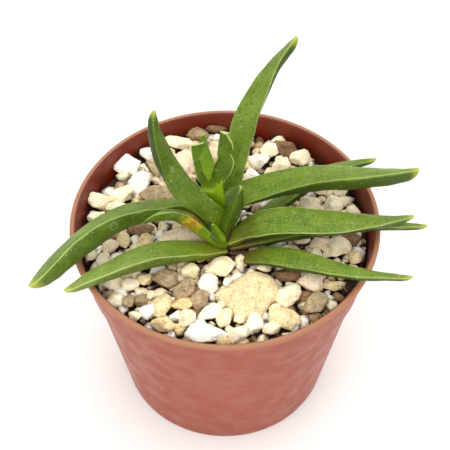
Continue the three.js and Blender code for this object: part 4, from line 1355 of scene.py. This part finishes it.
class PLANT_OT_large_stone(bpy.types.Operator):
    """Shape the flat stone at the front"""

    bl_idname = "plant.large_stone"
    bl_label = "Large stone"

    def execute(self, context):
        select_only()
        bpy.ops.mesh.primitive_uv_sphere_add(segments=96, ring_count=40, radius=1)
        stone = bpy.context.object
        stone.name = "large_stone_slab"
        radii = [*LARGE_STONE_RADII, LARGE_STONE_RADII[0]]
        for vertex in stone.data.vertices:
            angle = math.atan2(vertex.co.y, vertex.co.x) % math.tau
            place = angle / math.tau * (len(radii) - 1)
            index = int(place) % (len(radii) - 1)
            ease = place - int(place)
            ease = ease * ease * (3 - 2 * ease)
            radius = mix(radii[index], radii[index + 1], ease)
            flat = math.hypot(vertex.co.x, vertex.co.y) ** 0.6
            rise = vertex.co.z * (1 if vertex.co.z > 0 else 0.5)
            x = LARGE_STONE[0] + radius * flat * math.cos(angle)
            y = LARGE_STONE[1] + radius * flat * math.sin(angle)
            lumps = 0.5 * noise.noise(Vector((x, y, 3)) / 5) + 0.22 * noise.noise(Vector((x, y, 9)) / 1.8)
            top = abs(rise) ** 0.75 * math.copysign(1, rise)
            height = GRAVEL_TOP + GAP + 1.2 + top * LARGE_STONE_HEIGHT * 0.62 + lumps * max(0, rise)
            vertex.co = Vector((x, y, max(GRAVEL_TOP + GAP, height))) * MM
        mark_all(stone, tone=0.3)
        finish(stone, stone_face("slab"), "large_stone", "large_stone")
        return {"FINISHED"}


# Debris

ROOT_THREAD = [(28.6, -18.4, 58.6), (30.1, -18.9, 60), (31.4, -19.8, 60.2), (32.5, -20.9, 59.6)]
SCRAPS = [
    ([(0.6, -6.4, 58.6), (2.6, -7.4, 59.6), (4.6, -7.2, 59.4), (6.4, -6.4, 58.6)], 1.8),
    ([(1.6, -8, 58.4), (3.4, -8.8, 59.2), (5.4, -8.4, 58.8)], 1.6),
    ([(0.4, -8.4, 58.6), (1.6, -9.6, 59.2), (2.6, -10.4, 58.6)], 1.2),
    ([(3.4, -5.6, 58.8), (5.6, -5, 60), (8, -4.6, 59.6)], 1.4),
]
MAT_CENTRE = (-14.6, 35.2, 59.2)
MAT_REACH = (6.5, 2.2, 0.9)
MAT_THREADS = 34
THREAD_SEED = 83
THREAD_WANDER = (1.8, 1.1, 0.8)  # how far a thread may stray from one point to the next
THREAD_LOW = 57.6
THREAD_WIDTHS = (0.24, 0.4)
ROOT_WIDTH = 0.36


class PLANT_OT_debris(bpy.types.Operator):
    """Scatter a root thread, a mat of fibres and scraps of old leaf sheath"""

    bl_idname = "plant.debris"
    bl_label = "Debris"

    def execute(self, context):
        blank = leaf_blank(8, 14)
        draw = draws(THREAD_SEED)
        threads = [(ROOT_THREAD, ROOT_WIDTH)]
        for _ in range(MAT_THREADS):
            start = [middle + draw(-reach, reach) for middle, reach in zip(MAT_CENTRE, MAT_REACH)]
            points = [start]
            for _ in range(3):
                x, y, z = (value + draw(-far, far) for value, far in zip(points[-1], THREAD_WANDER))
                points.append((x, y, max(THREAD_LOW, z)))
            threads.append((points, draw(*THREAD_WIDTHS)))
        groups = (
            ("root_threads", threads, 1, dead_tissue("dry_root_fibre", "#b3935f", "#5a3c22")),
            ("sheath_scraps", SCRAPS, 0.2, dead_tissue("papery_old_sheath", "#6d4a3c", "#2c1813")),
        )
        for name, strips, thickness, material in groups:
            pieces = []
            for i, (points, width) in enumerate(strips):
                depth = width * thickness / 2
                strip = {
                    "spine": points,
                    "widths": [width, width * 1.1, width * 0.5],
                    "keels": [depth] * 2,
                    "rolls": [10, -20, 15],
                    "crowning": depth,
                    "cut": True,
                }
                pieces.append(bend_leaf(blank, f"{name}_{i}", strip, 0.06))
                keep_inside(pieces[-1])
            finish(join(pieces, name), material, "soil", "gravel")
        remove(blank)
        return {"FINISHED"}


# Soil and stem


class PLANT_OT_soil(bpy.types.Operator):
    """Give the plug of soil its finish"""

    bl_idname = "plant.soil"
    bl_label = "Soil"

    def execute(self, context):
        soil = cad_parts["soil"]
        soil.data.materials.clear()
        soil.data.materials.append(potting_mix("packed_potting_mix"))
        return {"FINISHED"}


STEM = [
    (0, 36), (0.9, 36), (1.6, 44), (2.6, 52), (3.1, 57), (3.1, 58), (2.9, 60), (2.8, 61.6), (1.6, 63.6),
    (0, 63.8),
]
STEM_STEP = 0.6
STEM_SIDES = 40


class PLANT_OT_stem(bpy.types.Operator):
    """Spin the corky stem and root"""

    bl_idname = "plant.stem"
    bl_label = "Stem and root"

    def execute(self, context):
        outline = []
        for (start, low), (end, high) in zip(STEM, STEM[1:]):
            steps = max(1, round(math.hypot(end - start, high - low) / STEM_STEP))
            outline += [(mix(start, end, i / steps), mix(low, high, i / steps)) for i in range(steps)]
        stem = lathe("stem_and_root_bark", [*outline, STEM[-1]], STEM_SIDES)
        for vertex in stem.data.vertices:
            spot = vertex.co / MM
            reach = Vector((spot.x, spot.y, 0))
            bark = 0.3 * noise.noise(Vector((spot.x * 1.2, spot.y * 1.2, spot.z * 0.5)))
            if reach.length > 0.5:
                vertex.co += reach.normalized() * bark * MM
            vertex.co += Vector((*CROWN, 0)) * MM
        finish(stem, dead_tissue("corky_stem_bark", "#46301f", "#20130b"), "stem", "stem_and_root")
        return {"FINISHED"}


# Stage


KEY_PLACE = (-0.1, -0.3, 0.6)
KEY_SIZE = 0.8
FILL_PLACE = (0.2, 0.3, 0.6)
FILL_SIZE = 0.7
FILL_SHARE = 0.5  # strength of the light at the back, as a share of the key light's


class PLANT_OT_stage(bpy.types.Operator):
    """Set the floor, the lights and the camera"""

    bl_idname = "plant.stage"
    bl_label = "Stage"

    def execute(self, context):
        settings = context.scene.plant_stage
        scene = context.scene
        scene.view_settings.view_transform = "Standard"
        select_only()
        bpy.ops.mesh.primitive_plane_add(size=4)
        floor = context.object
        floor.name = "floor"
        paper, _, shader, _ = new_material("matt_paper", 0.9, 1.45)
        shader.inputs["Base Color"].default_value = settings.floor
        floor.data.materials.append(paper)
        world = bpy.data.worlds.new("pale_sky")
        world.use_nodes = True
        sky = world.node_tree.nodes["Background"]
        sky.inputs["Color"].default_value = (1, 1, 1, 1)
        sky.inputs["Strength"].default_value = settings.sky
        scene.world = world
        for name, place, size, power in (
            ("key_light", KEY_PLACE, KEY_SIZE, settings.key),
            ("back_fill", FILL_PLACE, FILL_SIZE, settings.key * FILL_SHARE),
        ):
            bpy.ops.object.light_add(type="AREA", location=place)
            lamp = context.object
            lamp.name = name
            lamp.data.size = size
            lamp.data.energy = power
            aim = Vector((0, 0, POT_HEIGHT * MM)) - Vector(place)
            lamp.rotation_mode = "QUATERNION"
            lamp.rotation_quaternion = aim.to_track_quat("-Z", "Y")
        rise = math.radians(CAMERA_ELEVATION)
        target = Vector(CAMERA_TARGET) * MM
        back = Vector((0, -math.cos(rise), math.sin(rise)))
        bpy.ops.object.camera_add(location=target + back * CAMERA_DISTANCE * MM)
        camera = context.object
        camera.rotation_mode = "QUATERNION"
        camera.rotation_quaternion = (-back).to_track_quat("-Z", "Y")
        camera.data.lens = CAMERA_LENS
        camera.data.clip_start = 0.01
        scene.camera = camera
        return {"FINISHED"}


# Sidebar and registration

OPERATORS = (
    PLANT_OT_stage,
    PLANT_OT_pot,
    PLANT_OT_soil,
    PLANT_OT_stem,
    PLANT_OT_gravel,
    PLANT_OT_large_stone,
    PLANT_OT_debris,
    PLANT_OT_leaves,
    PLANT_OT_young_leaves,
)


class PLANT_PT_parts(bpy.types.Panel):
    """Buttons for each group of pieces"""

    bl_idname = "PLANT_PT_parts"
    bl_label = "Potted succulent"
    bl_space_type = "VIEW_3D"
    bl_region_type = "UI"
    bl_category = "Plant"

    def draw(self, context):
        for operator in OPERATORS:
            self.layout.operator(operator.bl_idname)
        for name in SETTINGS:
            box = self.layout.box()
            group = getattr(context.scene, name)
            for setting in group.bl_rna.properties:
                if not setting.is_readonly and setting.identifier != "name":
                    box.prop(group, setting.identifier)


SETTINGS = {
    "plant_pot": PotSettings,
    "plant_leaves": LeafSettings,
    "plant_gravel": GravelSettings,
    "plant_stage": StageSettings,
}


def register():
    for kind in (*SETTINGS.values(), *OPERATORS, PLANT_PT_parts):
        bpy.utils.register_class(kind)
    for name, kind in SETTINGS.items():
        setattr(bpy.types.Scene, name, bpy.props.PointerProperty(type=kind))


def unregister():
    for name in SETTINGS:
        delattr(bpy.types.Scene, name)
    for kind in reversed((*SETTINGS.values(), *OPERATORS, PLANT_PT_parts)):
        bpy.utils.unregister_class(kind)


def main():
    register()
    for operator in OPERATORS:
        getattr(bpy.ops.plant, operator.bl_idname.split(".")[1])()


if __name__ == "__main__":
    main()
